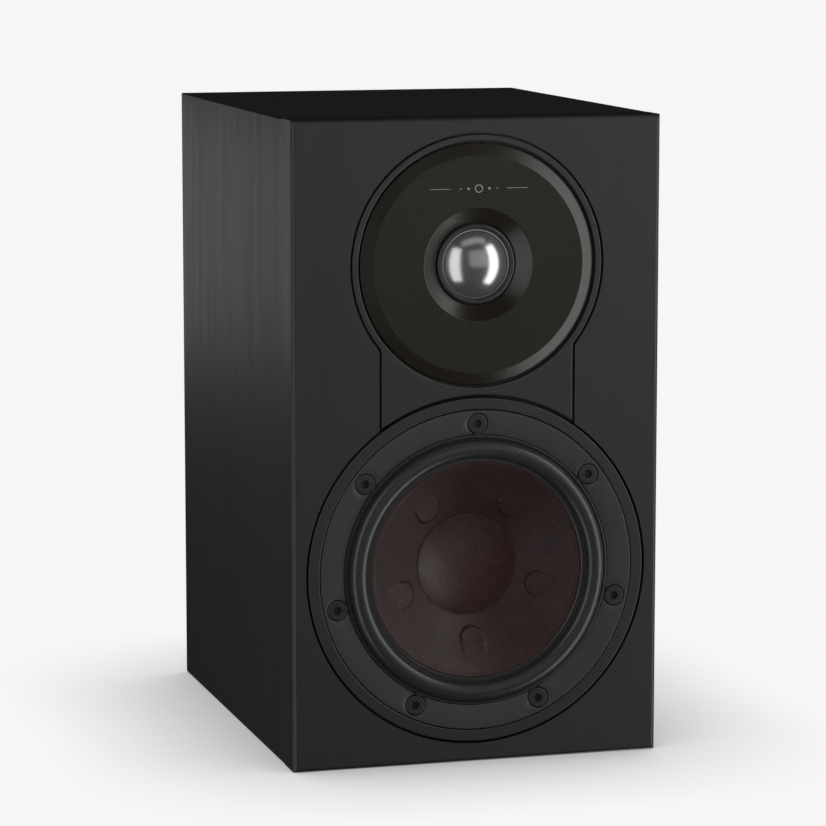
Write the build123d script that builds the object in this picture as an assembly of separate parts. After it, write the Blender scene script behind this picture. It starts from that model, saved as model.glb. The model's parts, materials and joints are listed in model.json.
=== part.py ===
from build123d import *
import math
import os

# Two-way bookshelf loudspeaker, in millimetres.
# The front faces -Y, up is +Z. The origin is the centre of the cabinet's footprint, on its underside.

# Cabinet
CABINET_WIDTH = 162.0
CABINET_HEIGHT = 276.0
CABINET_DEPTH = 210.0
BAFFLE_THICKNESS = 16.0
WALL = 12.0
REAR_PANEL_THICKNESS = 12.0
REAR_PANEL_CLEARANCE = 0.2
FRONT_EDGE_RADIUS = 1.8
BRACE_THICKNESS = 9.0
BRACE_HEIGHT = 150.0
BRACE_BORDER = 24.0
BRACE_END_GAP = 22.0
MAT_THICKNESS = 12.0
MAT_END_GAP = 12.0

# Driver positions and the trim around them
WOOFER_HEIGHT = 83.0
TWEETER_DROP = 62.0
GROOVE = 0.6
POCKET_DEPTH = 5.0
GASKET_THICKNESS = 1.0
NECK_HALF_WIDTH = 42.9
NECK_CORNER_RADIUS = 3.0
KEYHOLE_RING_WIDTH = 3.45
KEYHOLE_DEPTH = 3.0
RING_WIDTH = 5.7
FINE_GAP = 0.2
TRIM_EDGE_RADIUS = 0.25

# Woofer
FLANGE_RADIUS = 69.0
FLANGE_WIDTH = 10.5
FLANGE_SEAT_WIDTH = 9.5
FLANGE_RISE = 1.0
BASKET_WALL = 2.5
BASKET_CLEARANCE = 0.6
WOOFER_SCREWS = 7
WOOFER_SCREW_INSET = 5.7
SURROUND_RIM = 1.9
SURROUND_WIDTH = 7.9
SURROUND_HEIGHT = 3.4
SURROUND_SKIN = 0.8
CONE_EDGE = 2.7
CONE_LIP = 2.2
CONE_SKIN = 1.0
CONE_SLOPE = 0.62
CAP_RADIUS = 21.8
CAP_HEIGHT = 6.5
COIL_RADIUS = 12.7
FORMER_WALL = 0.3
COIL_WIRE = 0.6
COIL_LENGTH = 12.0
MOVING_GAP = 0.4
SKIN_GAP = 0.3
SPIDER_RADIUS = 41.0
SPIDER_SKIN = 0.8
SPIDER_DEPTH = 32.0
SPIDER_WAVE = 1.6
MOTOR_DEPTH = 45.0
TOP_PLATE_THICKNESS = 6.0
TOP_PLATE_RADIUS = 38.0
MAGNET_THICKNESS = 16.0
MAGNET_RADIUS = 40.0
BACK_PLATE_THICKNESS = 6.0

# Tweeter
FACEPLATE_RADIUS = 51.25
FACEPLATE_CHAMFER_WIDTH = 5.25
FACEPLATE_GAP = 0.5
FACEPLATE_RISE = 0.8
FACEPLATE_CHAMFER_DROP = 2.1
HORN_RADIUS = 23.2
HORN_DEPTH = 4.3
ROLL_WIDTH = 3.2
DOME_RADIUS = 14.2
DOME_HEIGHT = 7.0
DOME_SKIN = 0.4
DOME_GAP = 0.1
TWEETER_MOTOR_RADIUS = 34.0
TWEETER_HOLE_CLEARANCE = 4.0
TWEETER_SCREW_INSET = 8.25
TWEETER_TOP_PLATE = 4.0
TWEETER_MAGNET = 10.0
TWEETER_BACK_PLATE = 4.0
TWEETER_CHAMBER_RADIUS = 24.0
TWEETER_CHAMBER_DEPTH = 18.0

# Bass port
PORT_DROP = 70.0
PORT_BORE_RADIUS = 20.0
PORT_WALL = 2.5
PORT_LENGTH = 110.0
PORT_FLARE = 9.0
PORT_FLANGE_RADIUS = 36.0
PORT_FLANGE_THICKNESS = 2.5

# Terminal cup and binding posts
TERMINAL_HEIGHT = 80.0
CUP_WIDTH = 68.0
CUP_HEIGHT = 50.0
CUP_CORNER = 7.0
CUP_WALL = 2.0
CUP_FLOOR = 3.0
CUP_RECESS = 14.0
CUP_RIM = 10.0
CUP_RIM_THICKNESS = 2.5
CUP_CLEARANCE = 0.6
POST_SPACING = 19.0
STUD_RADIUS = 3.0
SOCKET_RADIUS = 2.05
SOCKET_DEPTH = 14.0
THREAD_CLEARANCE = 0.06
POST_COLLAR_RADIUS = 7.5
POST_COLLAR_LENGTH = 3.0
POST_WASHER_RADIUS = 6.4
POST_WASHER_THICKNESS = 1.0
POST_CAP_RADIUS = 6.8
POST_CAP_LENGTH = 20.0
POST_FLUTES = 16

# Crossover and leads
STANDOFF_HEIGHT = 8.0
BOARD_THICKNESS = 1.6
BOARD_WIDTH = 104.0
BOARD_FRONT = -15.0
BOARD_REAR = 70.0
LEAD_DIAMETER = 2.2
TINSEL_DIAMETER = 1.2

# Places worked out from the sizes above
FRONT = -CABINET_DEPTH / 2
REAR = CABINET_DEPTH / 2
BAFFLE_BACK = FRONT + BAFFLE_THICKNESS
REAR_PANEL_FRONT = REAR - REAR_PANEL_THICKNESS
INNER_HALF_WIDTH = CABINET_WIDTH / 2 - WALL
CEILING = CABINET_HEIGHT - WALL
TWEETER_HEIGHT = CABINET_HEIGHT - TWEETER_DROP
PORT_HEIGHT = CABINET_HEIGHT - PORT_DROP
POCKET_FLOOR = FRONT + POCKET_DEPTH
SEAT = POCKET_FLOOR - GASKET_THICKNESS
RING_OUTER = FLANGE_RADIUS + RING_WIDTH
RING_POCKET = RING_OUTER + GROOVE
FLANGE_INNER_RADIUS = FLANGE_RADIUS - FLANGE_WIDTH
WOOFER_HOLE_RADIUS = FLANGE_RADIUS - FLANGE_SEAT_WIDTH
WOOFER_SCREW_CIRCLE = FLANGE_RADIUS - WOOFER_SCREW_INSET
SURROUND_OUTER = FLANGE_INNER_RADIUS - SURROUND_RIM
SURROUND_INNER = SURROUND_OUTER - SURROUND_WIDTH
CONE_RADIUS = SURROUND_INNER - CONE_EDGE
CONE_LIP_RADIUS = CONE_RADIUS + CONE_LIP
KEYHOLE_OPENING = FACEPLATE_RADIUS + FACEPLATE_GAP
KEYHOLE_RADIUS = KEYHOLE_OPENING + KEYHOLE_RING_WIDTH + GROOVE / 2
FACEPLATE_FLAT_RADIUS = FACEPLATE_RADIUS - FACEPLATE_CHAMFER_WIDTH
HORN_THROAT = DOME_RADIUS + ROLL_WIDTH
TWEETER_HOLE_RADIUS = TWEETER_MOTOR_RADIUS + TWEETER_HOLE_CLEARANCE
TWEETER_SCREW_CIRCLE = FACEPLATE_RADIUS - TWEETER_SCREW_INSET


def block(x0, x1, y0, y1, z0, z1):
    """Box between two corners."""
    centre = Pos((x0 + x1) / 2, (y0 + y1) / 2, (z0 + z1) / 2)
    return centre * Box(x1 - x0, y1 - y0, z1 - z0)


def turned(outline, height=0.0):
    """Solid turned about a line along Y at a height; the outline's points are (radius, y)."""
    face = make_face(Polyline(*outline, close=True).edges())
    return Pos(0, 0, height) * revolve(face, Axis.Y, 360)


def turned_edges(edges, height=0.0):
    """Solid turned about a line along Y from a closed loop of lines and arcs in (radius, y)."""
    return Pos(0, 0, height) * revolve(make_face(edges), Axis.Y, 360)


def ring(inner, outer, y0, y1, height=0.0):
    """Flat ring about a line along Y."""
    return turned([(inner, y0), (outer, y0), (outer, y1), (inner, y1)], height)


def rod(radius, y0, y1, x=0.0, z=0.0):
    """Round bar along Y."""
    return Pos(x, (y0 + y1) / 2, z) * Rot(90, 0, 0) * Cylinder(radius, abs(y1 - y0))


def pillar(radius, z0, z1, x, y):
    """Round bar along Z."""
    return Pos(x, y, (z0 + z1) / 2) * Cylinder(radius, z1 - z0)


def places_around(count, radius, height, start=90.0):
    """Evenly spaced (x, z) places on a circle about the line along Y at a height."""
    step = 360.0 / count
    angles = [math.radians(start + step * i) for i in range(count)]
    return [(radius * math.cos(a), height + radius * math.sin(a)) for a in angles]


def front_slab(sketch, y_front, y_back):
    """Sketch in X and Z made into a slab between two depths."""
    return extrude(Plane.XZ.offset(-y_back) * sketch, amount=y_back - y_front)


def bend_radii(points):
    """Largest arcs for a route: 0.45 of the shorter run over the tangent of half the turn."""
    radii = []
    for before, corner, after in zip(points, points[1:], points[2:]):
        run_in = Vector(*corner) - Vector(*before)
        run_out = Vector(*after) - Vector(*corner)
        half_turn = math.radians(run_in.get_angle(run_out)) / 2
        radii.append(0.45 * min(run_in.length, run_out.length) / math.tan(half_turn))
    return radii


def lead(points, diameter):
    """Round lead along straight runs joined by tangent arcs."""
    radii = bend_radii(points)
    path = FilletPolyline(*points, radius=radii)
    section = Plane(origin=path @ 0, z_dir=path % 0) * Circle(diameter / 2)
    tube = sweep(section, path=path)
    expected = math.pi * diameter ** 2 / 4 * path.length
    print("lead length", round(path.length, 1), "radii", [round(r, 1) for r in radii])
    print("  volume over section times length", round(tube.volume / expected, 4))
    return tube


def keyhole(grow):
    """Outline of the circle around the tweeter and the neck that runs down from it."""
    half = NECK_HALF_WIDTH + grow
    circle = Pos(0, TWEETER_HEIGHT) * Circle(KEYHOLE_RADIUS + grow)
    neck_height = TWEETER_HEIGHT - WOOFER_HEIGHT
    neck = Pos(0, (TWEETER_HEIGHT + WOOFER_HEIGHT) / 2) * Rectangle(2 * half, neck_height)
    outline = circle + neck
    corners = [v for v in outline.vertices() if WOOFER_HEIGHT + 1 < v.Y < TWEETER_HEIGHT]
    return fillet(corners, NECK_CORNER_RADIUS)


# ---------------------------------------------------------------- cabinet

def front_baffle():
    """Front board with the pockets, driver openings and pilot holes."""
    board = block(-CABINET_WIDTH / 2, CABINET_WIDTH / 2, FRONT, BAFFLE_BACK, 0, CABINET_HEIGHT)
    board = fillet(board.faces().sort_by(Axis.Y)[0].edges(), FRONT_EDGE_RADIUS)
    board -= front_slab(keyhole(GROOVE / 2), FRONT - 1, FRONT + KEYHOLE_DEPTH)
    board -= rod(RING_POCKET, FRONT - 1, POCKET_FLOOR, 0, WOOFER_HEIGHT)
    board -= rod(WOOFER_HOLE_RADIUS, FRONT, BAFFLE_BACK + 1, 0, WOOFER_HEIGHT)
    board -= rod(KEYHOLE_OPENING, FRONT - 1, POCKET_FLOOR, 0, TWEETER_HEIGHT)
    board -= rod(TWEETER_HOLE_RADIUS, FRONT, BAFFLE_BACK + 1, 0, TWEETER_HEIGHT)
    for x, z in places_around(WOOFER_SCREWS, WOOFER_SCREW_CIRCLE, WOOFER_HEIGHT):
        board -= rod(2.05, POCKET_FLOOR - 1, BAFFLE_BACK - 1, x, z)
    for x, z in places_around(4, TWEETER_SCREW_CIRCLE, TWEETER_HEIGHT, 45):
        board -= rod(1.8, POCKET_FLOOR - 1, BAFFLE_BACK + 1, x, z)
    return board


def mitred_panel(outline):
    """Wrapped panel from the baffle to the rear edge, with mitred long edges."""
    face = Plane.XZ.offset(-REAR) * make_face(Polyline(*outline, close=True).edges())
    return extrude(face, amount=REAR - BAFFLE_BACK)


def side_panel(side):
    """Left (-1) or right (+1) cabinet wall."""
    outer = side * CABINET_WIDTH / 2
    inner = side * INNER_HALF_WIDTH
    return mitred_panel([(outer, 0), (inner, WALL), (inner, CEILING), (outer, CABINET_HEIGHT)])


def level_panel(outer_z, inner_z):
    """Top or bottom cabinet wall."""
    half = CABINET_WIDTH / 2
    inner = INNER_HALF_WIDTH
    return mitred_panel([(-half, outer_z), (half, outer_z), (inner, inner_z), (-inner, inner_z)])


def bottom_panel():
    """Bottom wall with the pilot holes for the crossover's screws."""
    panel = level_panel(0, WALL)
    for x, y in board_corners():
        panel -= pillar(1.55, WALL - 8.5, WALL + 1, x, y)
    return panel


def cup_sketch(grow, corner):
    """Rounded rectangle of the terminal cup, grown on every side."""
    rectangle = RectangleRounded(CUP_WIDTH + 2 * grow, CUP_HEIGHT + 2 * grow, corner)
    return Pos(0, TERMINAL_HEIGHT) * rectangle


def rear_panel():
    """Rear board with the openings for the port and the terminal cup."""
    half = INNER_HALF_WIDTH - REAR_PANEL_CLEARANCE
    low = WALL + REAR_PANEL_CLEARANCE
    high = CEILING - REAR_PANEL_CLEARANCE
    board = block(-half, half, REAR_PANEL_FRONT, REAR, low, high)
    port_hole = PORT_BORE_RADIUS + PORT_WALL + PORT_FLARE + CUP_CLEARANCE
    board -= rod(port_hole, REAR_PANEL_FRONT - 1, REAR + 1, 0, PORT_HEIGHT)
    board -= front_slab(cup_sketch(CUP_CLEARANCE, CUP_CORNER), REAR_PANEL_FRONT - 1, REAR + 1)
    for x, z in cup_screw_places():
        board -= rod(1.4, REAR_PANEL_FRONT + 1, REAR + 1, x, z)
    return board


def cabinet_brace():
    """Window brace between the side walls, above the woofer."""
    y0 = BAFFLE_BACK + BRACE_END_GAP
    y1 = REAR_PANEL_FRONT - BRACE_END_GAP
    z1 = BRACE_HEIGHT + BRACE_THICKNESS
    plate = block(-INNER_HALF_WIDTH, INNER_HALF_WIDTH, y0, y1, BRACE_HEIGHT, z1)
    half = INNER_HALF_WIDTH - BRACE_BORDER
    window = block(-half, half, y0 + BRACE_BORDER / 2, y1 - BRACE_BORDER / 2, BRACE_HEIGHT - 1, z1 + 1)
    return plate - window


def damping_mat():
    """Wadding folded along the upper walls."""
    y0 = BAFFLE_BACK + MAT_END_GAP
    y1 = REAR_PANEL_FRONT - MAT_END_GAP
    low = BRACE_HEIGHT + BRACE_THICKNESS
    half = INNER_HALF_WIDTH
    inner = half - MAT_THICKNESS
    mat = block(-half, half, y0, y1, low, CEILING)
    return mat - block(-inner, inner, y0 - 1, y1 + 1, low - 1, CEILING - MAT_THICKNESS)


def keyhole_trim():
    """Flush trim around the tweeter, with a neck down to the woofer's ring."""
    plate = front_slab(keyhole(-GROOVE / 2), FRONT, FRONT + KEYHOLE_DEPTH)
    plate -= rod(RING_POCKET, FRONT - 1, BAFFLE_BACK, 0, WOOFER_HEIGHT)
    plate -= rod(KEYHOLE_OPENING, FRONT - 1, BAFFLE_BACK, 0, TWEETER_HEIGHT)
    return fillet(plate.faces().sort_by(Axis.Y)[0].edges(), TRIM_EDGE_RADIUS)


def woofer_trim_ring():
    """Flush ring around the woofer's flange."""
    trim = ring(FLANGE_RADIUS + FINE_GAP, RING_OUTER, FRONT, POCKET_FLOOR, WOOFER_HEIGHT)
    return fillet(trim.faces().sort_by(Axis.Y)[0].edges(), TRIM_EDGE_RADIUS)


# ---------------------------------------------------------------- woofer

MOTOR_FRONT = FRONT + MOTOR_DEPTH
TOP_PLATE_BACK = MOTOR_FRONT + TOP_PLATE_THICKNESS
MAGNET_BACK = TOP_PLATE_BACK + MAGNET_THICKNESS
SPIDER_SEAT = FRONT + SPIDER_DEPTH
SURROUND_SEAT = FRONT + 1.0
LIP_FRONT = SURROUND_SEAT - 0.1
POLE_RADIUS = COIL_RADIUS - FORMER_WALL - MOVING_GAP
GAP_RADIUS = COIL_RADIUS + COIL_WIRE + MOVING_GAP
STRIP_HEIGHT = WOOFER_HEIGHT + 48.0


def cone_front(radius):
    """Depth of the cone's front face at a radius."""
    return LIP_FRONT + (CONE_RADIUS - radius) * CONE_SLOPE


def woofer_basket():
    """Cast frame with flange, legs, spider ledge and motor seat."""
    wall = WOOFER_HOLE_RADIUS - BASKET_CLEARANCE
    ledge = SPIDER_RADIUS + 0.5
    outline = [
        (FLANGE_INNER_RADIUS, FRONT - FLANGE_RISE),
        (FLANGE_RADIUS, FRONT),
        (FLANGE_RADIUS, SEAT),
        (wall, SEAT),
        (wall, SEAT + 4),
        (ledge + BASKET_WALL, SPIDER_SEAT),
        (TOP_PLATE_RADIUS, MOTOR_FRONT),
        (GAP_RADIUS + 0.5, MOTOR_FRONT),
        (GAP_RADIUS + 0.5, MOTOR_FRONT - BASKET_WALL),
        (SPIDER_RADIUS - 6, MOTOR_FRONT - BASKET_WALL),
        (SPIDER_RADIUS - 6, SPIDER_SEAT),
        (ledge, SPIDER_SEAT),
        (ledge, SPIDER_SEAT - 1.5),
        (wall - BASKET_WALL, SEAT + 3.5),
        (wall - BASKET_WALL, SURROUND_SEAT),
        (FLANGE_INNER_RADIUS, SURROUND_SEAT),
    ]
    frame = turned(outline, WOOFER_HEIGHT)
    half_window = 180.0 / WOOFER_SCREWS - 6.0
    for i in range(WOOFER_SCREWS):
        middle = 90 + 360.0 / WOOFER_SCREWS * i
        frame -= window_wedge(middle - half_window, middle + half_window)
    frame += block(-11, 11, SPIDER_SEAT + 1, MOTOR_FRONT - 1, WOOFER_HEIGHT + 36.5, STRIP_HEIGHT)
    for x, z in places_around(WOOFER_SCREWS, WOOFER_SCREW_CIRCLE, WOOFER_HEIGHT):
        frame -= rod(4.65, FRONT - 5, FRONT + 2.4, x, z)
        frame -= rod(2.2, FRONT, SEAT + 1, x, z)
    return frame


def window_wedge(start, end):
    """Cutter for one opening between two legs of the basket."""
    near = WOOFER_SCREW_CIRCLE / 2
    far = WOOFER_SCREW_CIRCLE
    corners = [(near, start), (far, start), (far * 1.1, (start + end) / 2), (far, end), (near, end)]
    points = [polar(r, a) for r, a in corners]
    face = make_face(Polyline(*points, close=True).edges())
    return front_slab(face, SEAT + 5, SPIDER_SEAT - 2.5)


def polar(radius, degrees):
    """Point (x, z) at an angle around the woofer's axis."""
    a = math.radians(degrees)
    return (radius * math.cos(a), WOOFER_HEIGHT + radius * math.sin(a))


def woofer_gasket():
    """Foam ring under the woofer's flange."""
    gasket = ring(WOOFER_HOLE_RADIUS, FLANGE_RADIUS, SEAT, POCKET_FLOOR, WOOFER_HEIGHT)
    for x, z in places_around(WOOFER_SCREWS, WOOFER_SCREW_CIRCLE, WOOFER_HEIGHT):
        gasket -= rod(2.3, SEAT - 1, POCKET_FLOOR + 1, x, z)
    return gasket


def roll_surround(rim_out, outer, inner, rim_in, seat, height, skin, axis_height):
    """Rubber roll with a flat rim on each side; the seat is the rims' back face."""
    middle = (inner + outer) / 2
    face = seat - skin
    edges = [
        Line((rim_out, seat), (rim_out, face)),
        Line((rim_out, face), (outer, face)),
        ThreePointArc((outer, face), (middle, face - height), (inner, face)),
        Line((inner, face), (rim_in, face)),
        Line((rim_in, face), (rim_in, seat)),
        Line((rim_in, seat), (inner + skin, seat)),
        ThreePointArc((inner + skin, seat), (middle, face - height + skin), (outer - skin, seat)),
        Line((outer - skin, seat), (rim_out, seat)),
    ]
    return turned_edges(edges, axis_height)


def woofer_surround():
    """Rubber half-roll between the basket and the cone."""
    rim_out = FLANGE_INNER_RADIUS - SKIN_GAP
    rim_in = CONE_RADIUS + 0.8
    seat = LIP_FRONT - SKIN_GAP
    rolled = roll_surround(
        rim_out, SURROUND_OUTER, SURROUND_INNER, rim_in, seat, SURROUND_HEIGHT, SURROUND_SKIN, WOOFER_HEIGHT
    )
    foot = ring(SURROUND_OUTER, rim_out, seat, SURROUND_SEAT, WOOFER_HEIGHT)
    return rolled + foot


def woofer_cone():
    """Pulp cone with a flat lip and a neck around the coil former."""
    outline = [
        (COIL_RADIUS, cone_front(COIL_RADIUS)),
        (CONE_RADIUS, LIP_FRONT),
        (CONE_LIP_RADIUS, LIP_FRONT),
        (CONE_LIP_RADIUS, LIP_FRONT + CONE_SKIN * 0.8),
        (CONE_RADIUS, LIP_FRONT + CONE_SKIN),
        (COIL_RADIUS + CONE_SKIN, cone_front(COIL_RADIUS)),
        (COIL_RADIUS + CONE_SKIN, cone_front(COIL_RADIUS) + 3),
        (COIL_RADIUS, cone_front(COIL_RADIUS) + 3),
    ]
    return turned(outline, WOOFER_HEIGHT)


def woofer_dust_cap():
    """Domed cap glued to the cone around the coil."""
    edge = cone_front(CAP_RADIUS)
    curve = (CAP_RADIUS ** 2 + CAP_HEIGHT ** 2) / (2 * CAP_HEIGHT)
    centre = edge - CAP_HEIGHT + curve
    skin = CONE_SKIN
    inner_radius = math.sqrt((curve - skin) ** 2 - (curve - CAP_HEIGHT) ** 2)
    mid_outer = (curve * math.sin(0.3), centre - curve * math.cos(0.3))
    mid_inner = ((curve - skin) * math.sin(0.3), centre - (curve - skin) * math.cos(0.3))
    edges = [
        ThreePointArc((0, centre - curve), mid_outer, (CAP_RADIUS, edge)),
        Line((CAP_RADIUS, edge), (inner_radius, edge)),
        ThreePointArc((inner_radius, edge), mid_inner, (0, centre - curve + skin)),
        Line((0, centre - curve + skin), (0, centre - curve)),
    ]
    return turned_edges(edges, WOOFER_HEIGHT)


def woofer_coil_former():
    """Thin tube that carries the voice coil."""
    front = cone_front(COIL_RADIUS) - 1
    back = MOTOR_FRONT + TOP_PLATE_THICKNESS / 2 + COIL_LENGTH / 2
    return ring(COIL_RADIUS - FORMER_WALL, COIL_RADIUS, front, back, WOOFER_HEIGHT)


def woofer_voice_coil():
    """Winding around the rear of the former, centred in the magnet's gap."""
    middle = MOTOR_FRONT + TOP_PLATE_THICKNESS / 2
    half = COIL_LENGTH / 2
    return ring(COIL_RADIUS, COIL_RADIUS + COIL_WIRE, middle - half, middle + half, WOOFER_HEIGHT)


def woofer_spider():
    """Corrugated cloth disc that centres the coil."""
    inner = COIL_RADIUS + SKIN_GAP
    flat_start = SPIDER_RADIUS - 5
    waves = 5
    step = (flat_start - inner - 1.5) / (2 * waves)
    front = SPIDER_SEAT - SPIDER_SKIN
    line = [(inner, front), (inner + 1.5, front)]
    for i in range(1, 2 * waves):
        rise = SPIDER_WAVE if i % 2 else 0.0
        line.append((inner + 1.5 + step * i, front - rise))
    line += [(flat_start, front), (SPIDER_RADIUS, front)]
    back = [(r, y + SPIDER_SKIN) for r, y in reversed(line)]
    return turned(line + back, WOOFER_HEIGHT)


def woofer_top_plate():
    """Front iron plate of the magnet's gap."""
    return ring(GAP_RADIUS, TOP_PLATE_RADIUS, MOTOR_FRONT, TOP_PLATE_BACK, WOOFER_HEIGHT)


def woofer_magnet():
    """Ferrite ring."""
    return ring(COIL_RADIUS + 9, MAGNET_RADIUS, TOP_PLATE_BACK, MAGNET_BACK, WOOFER_HEIGHT)


def woofer_back_plate():
    """Rear iron plate in one piece with the vented pole."""
    plate = ring(4.0, TOP_PLATE_RADIUS, MAGNET_BACK, MAGNET_BACK + BACK_PLATE_THICKNESS, WOOFER_HEIGHT)
    return plate + ring(4.0, POLE_RADIUS, MOTOR_FRONT, MAGNET_BACK, WOOFER_HEIGHT)


def socket_screw(head_front, head_radius, head_height, shank_radius, tip, x, z):
    """Socket-headed screw along Y, from its head at the front to its tip."""
    screw = rod(head_radius, head_front, head_front + head_height, x, z)
    screw = fillet(screw.edges().group_by(Axis.Y)[0], 0.35)
    screw += rod(shank_radius, head_front + head_height, tip, x, z)
    socket = Plane.XZ.offset(-(head_front + 1.8)) * Pos(x, z) * RegularPolygon(2.0, 6)
    return screw - extrude(socket, amount=3)


def woofer_screws():
    """Screws that hold the woofer's flange."""
    places = places_around(WOOFER_SCREWS, WOOFER_SCREW_CIRCLE, WOOFER_HEIGHT)
    head = FRONT - 0.3
    return [socket_screw(head, 4.35, 2.7, 2.0, BAFFLE_BACK - 1.5, x, z) for x, z in places]


def woofer_terminals():
    """Insulating strip on the basket with its two solder tags."""
    y0 = SPIDER_SEAT + 1
    y1 = MOTOR_FRONT - 1
    strip = block(-11, 11, y0, y1, STRIP_HEIGHT, STRIP_HEIGHT + 2)
    tags = [
        block(x - 2.4, x + 2.4, y1 - 3, y1 + 8, STRIP_HEIGHT + 2, STRIP_HEIGHT + 2.8) for x in (-6, 6)
    ]
    return [strip] + tags


def woofer_tinsel_leads():
    """Braided leads from the terminal strip to the back of the cone."""
    leads = []
    for x in (-6, 6):
        start = (x, SPIDER_SEAT + 0.9, STRIP_HEIGHT - 1.2)
        cone_height = WOOFER_HEIGHT + 32.0
        cone_radius = math.hypot(x, 32.0)
        end_depth = cone_front(cone_radius) + CONE_SKIN * 1.6
        points = [
            start,
            (x, SPIDER_SEAT - 8, STRIP_HEIGHT - 1.2),
            (x, end_depth + 6.5, cone_height + 4),
            (x, end_depth, cone_height),
        ]
        leads.append(lead(points, TINSEL_DIAMETER))
    return leads


# ---------------------------------------------------------------- tweeter

PLATE_FRONT = FRONT - FACEPLATE_RISE
HORN_FLOOR = PLATE_FRONT + HORN_DEPTH
TWEETER_SEAT = POCKET_FLOOR
TWEETER_PLATE_BACK = TWEETER_SEAT + TWEETER_TOP_PLATE
TWEETER_MAGNET_BACK = TWEETER_PLATE_BACK + TWEETER_MAGNET
TWEETER_BACK = TWEETER_MAGNET_BACK + TWEETER_BACK_PLATE
TWEETER_COIL_RADIUS = DOME_RADIUS - 0.25
TWEETER_RIM_RADIUS = HORN_THROAT + 4.6


def tweeter_faceplate():
    """Plate with a chamfered rim and a shallow horn around the dome."""
    chamfer_y = PLATE_FRONT + FACEPLATE_CHAMFER_DROP
    lip = HORN_RADIUS + 1.4
    slope_start = (HORN_RADIUS - 0.6, PLATE_FRONT + 0.7)
    edges = [
        Line((FACEPLATE_RADIUS, SEAT), (FACEPLATE_RADIUS, chamfer_y)),
        Line((FACEPLATE_RADIUS, chamfer_y), (FACEPLATE_FLAT_RADIUS, PLATE_FRONT)),
        Line((FACEPLATE_FLAT_RADIUS, PLATE_FRONT), (lip, PLATE_FRONT)),
        ThreePointArc((lip, PLATE_FRONT), (HORN_RADIUS + 0.3, PLATE_FRONT + 0.2), slope_start),
        Line(slope_start, (HORN_THROAT, HORN_FLOOR)),
        Line((HORN_THROAT, HORN_FLOOR), (HORN_THROAT, TWEETER_SEAT - 0.5)),
        Line((HORN_THROAT, TWEETER_SEAT - 0.5), (TWEETER_RIM_RADIUS + 0.2, TWEETER_SEAT - 0.5)),
        Line((TWEETER_RIM_RADIUS + 0.2, TWEETER_SEAT - 0.5), (TWEETER_RIM_RADIUS + 0.2, TWEETER_SEAT)),
        Line((TWEETER_RIM_RADIUS + 0.2, TWEETER_SEAT), (TWEETER_MOTOR_RADIUS, TWEETER_SEAT)),
        Line((TWEETER_MOTOR_RADIUS, TWEETER_SEAT), (TWEETER_MOTOR_RADIUS, SEAT)),
        Line((TWEETER_MOTOR_RADIUS, SEAT), (FACEPLATE_RADIUS, SEAT)),
    ]
    plate = turned_edges(edges, TWEETER_HEIGHT)
    for x, z in places_around(4, TWEETER_SCREW_CIRCLE, TWEETER_HEIGHT, 45):
        plate -= rod(1.6, SEAT - 3.4, SEAT + 1, x, z)
    return plate


def tweeter_gasket():
    """Foam ring under the faceplate."""
    gasket = ring(TWEETER_HOLE_RADIUS, FACEPLATE_RADIUS, SEAT, POCKET_FLOOR, TWEETER_HEIGHT)
    for x, z in places_around(4, TWEETER_SCREW_CIRCLE, TWEETER_HEIGHT, 45):
        gasket -= rod(1.9, SEAT - 1, POCKET_FLOOR + 1, x, z)
    return gasket


def tweeter_surround():
    """Small roll around the dome, clamped under the faceplate."""
    inner = DOME_RADIUS + 0.5 + DOME_GAP
    outer = HORN_THROAT - 0.2
    skin = DOME_SKIN
    middle = (inner + outer) / 2
    top = HORN_FLOOR
    edges = [
        ThreePointArc((inner, top), (middle, top - 1.25), (outer, top)),
        Line((outer, top), (outer, TWEETER_SEAT - 0.5)),
        Line((outer, TWEETER_SEAT - 0.5), (TWEETER_RIM_RADIUS, TWEETER_SEAT - 0.5)),
        Line((TWEETER_RIM_RADIUS, TWEETER_SEAT - 0.5), (TWEETER_RIM_RADIUS, TWEETER_SEAT)),
        Line((TWEETER_RIM_RADIUS, TWEETER_SEAT), (outer - skin, TWEETER_SEAT)),
        Line((outer - skin, TWEETER_SEAT), (outer - skin, top)),
        ThreePointArc((outer - skin, top), (middle, top - 1.25 + skin), (inner + skin, top)),
        Line((inner + skin, top), (inner, top)),
    ]
    return turned_edges(edges, TWEETER_HEIGHT)


def tweeter_dome():
    """Domed diaphragm with a narrow lip."""
    curve = (DOME_RADIUS ** 2 + DOME_HEIGHT ** 2) / (2 * DOME_HEIGHT)
    centre = HORN_FLOOR - DOME_HEIGHT + curve
    inner = curve - DOME_SKIN
    foot = HORN_FLOOR + DOME_SKIN
    inner_radius = math.sqrt(inner ** 2 - (centre - foot) ** 2)
    mid_outer = (curve * math.sin(0.4), centre - curve * math.cos(0.4))
    mid_inner = (inner * math.sin(0.4), centre - inner * math.cos(0.4))
    lip = DOME_RADIUS + 0.5
    edges = [
        ThreePointArc((0, centre - curve), mid_outer, (DOME_RADIUS, HORN_FLOOR)),
        Line((DOME_RADIUS, HORN_FLOOR), (lip, HORN_FLOOR)),
        Line((lip, HORN_FLOOR), (lip, foot)),
        Line((lip, foot), (inner_radius, foot)),
        ThreePointArc((inner_radius, foot), mid_inner, (0, centre - inner)),
        Line((0, centre - inner), (0, centre - curve)),
    ]
    return turned_edges(edges, TWEETER_HEIGHT)


def tweeter_voice_coil():
    """Former and winding under the dome."""
    front = HORN_FLOOR + DOME_SKIN
    back = TWEETER_PLATE_BACK - 0.3
    radius = TWEETER_COIL_RADIUS
    former = ring(radius - 0.2, radius, front, back, TWEETER_HEIGHT)
    return former + ring(radius, radius + 0.5, TWEETER_SEAT + 0.3, back, TWEETER_HEIGHT)


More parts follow.
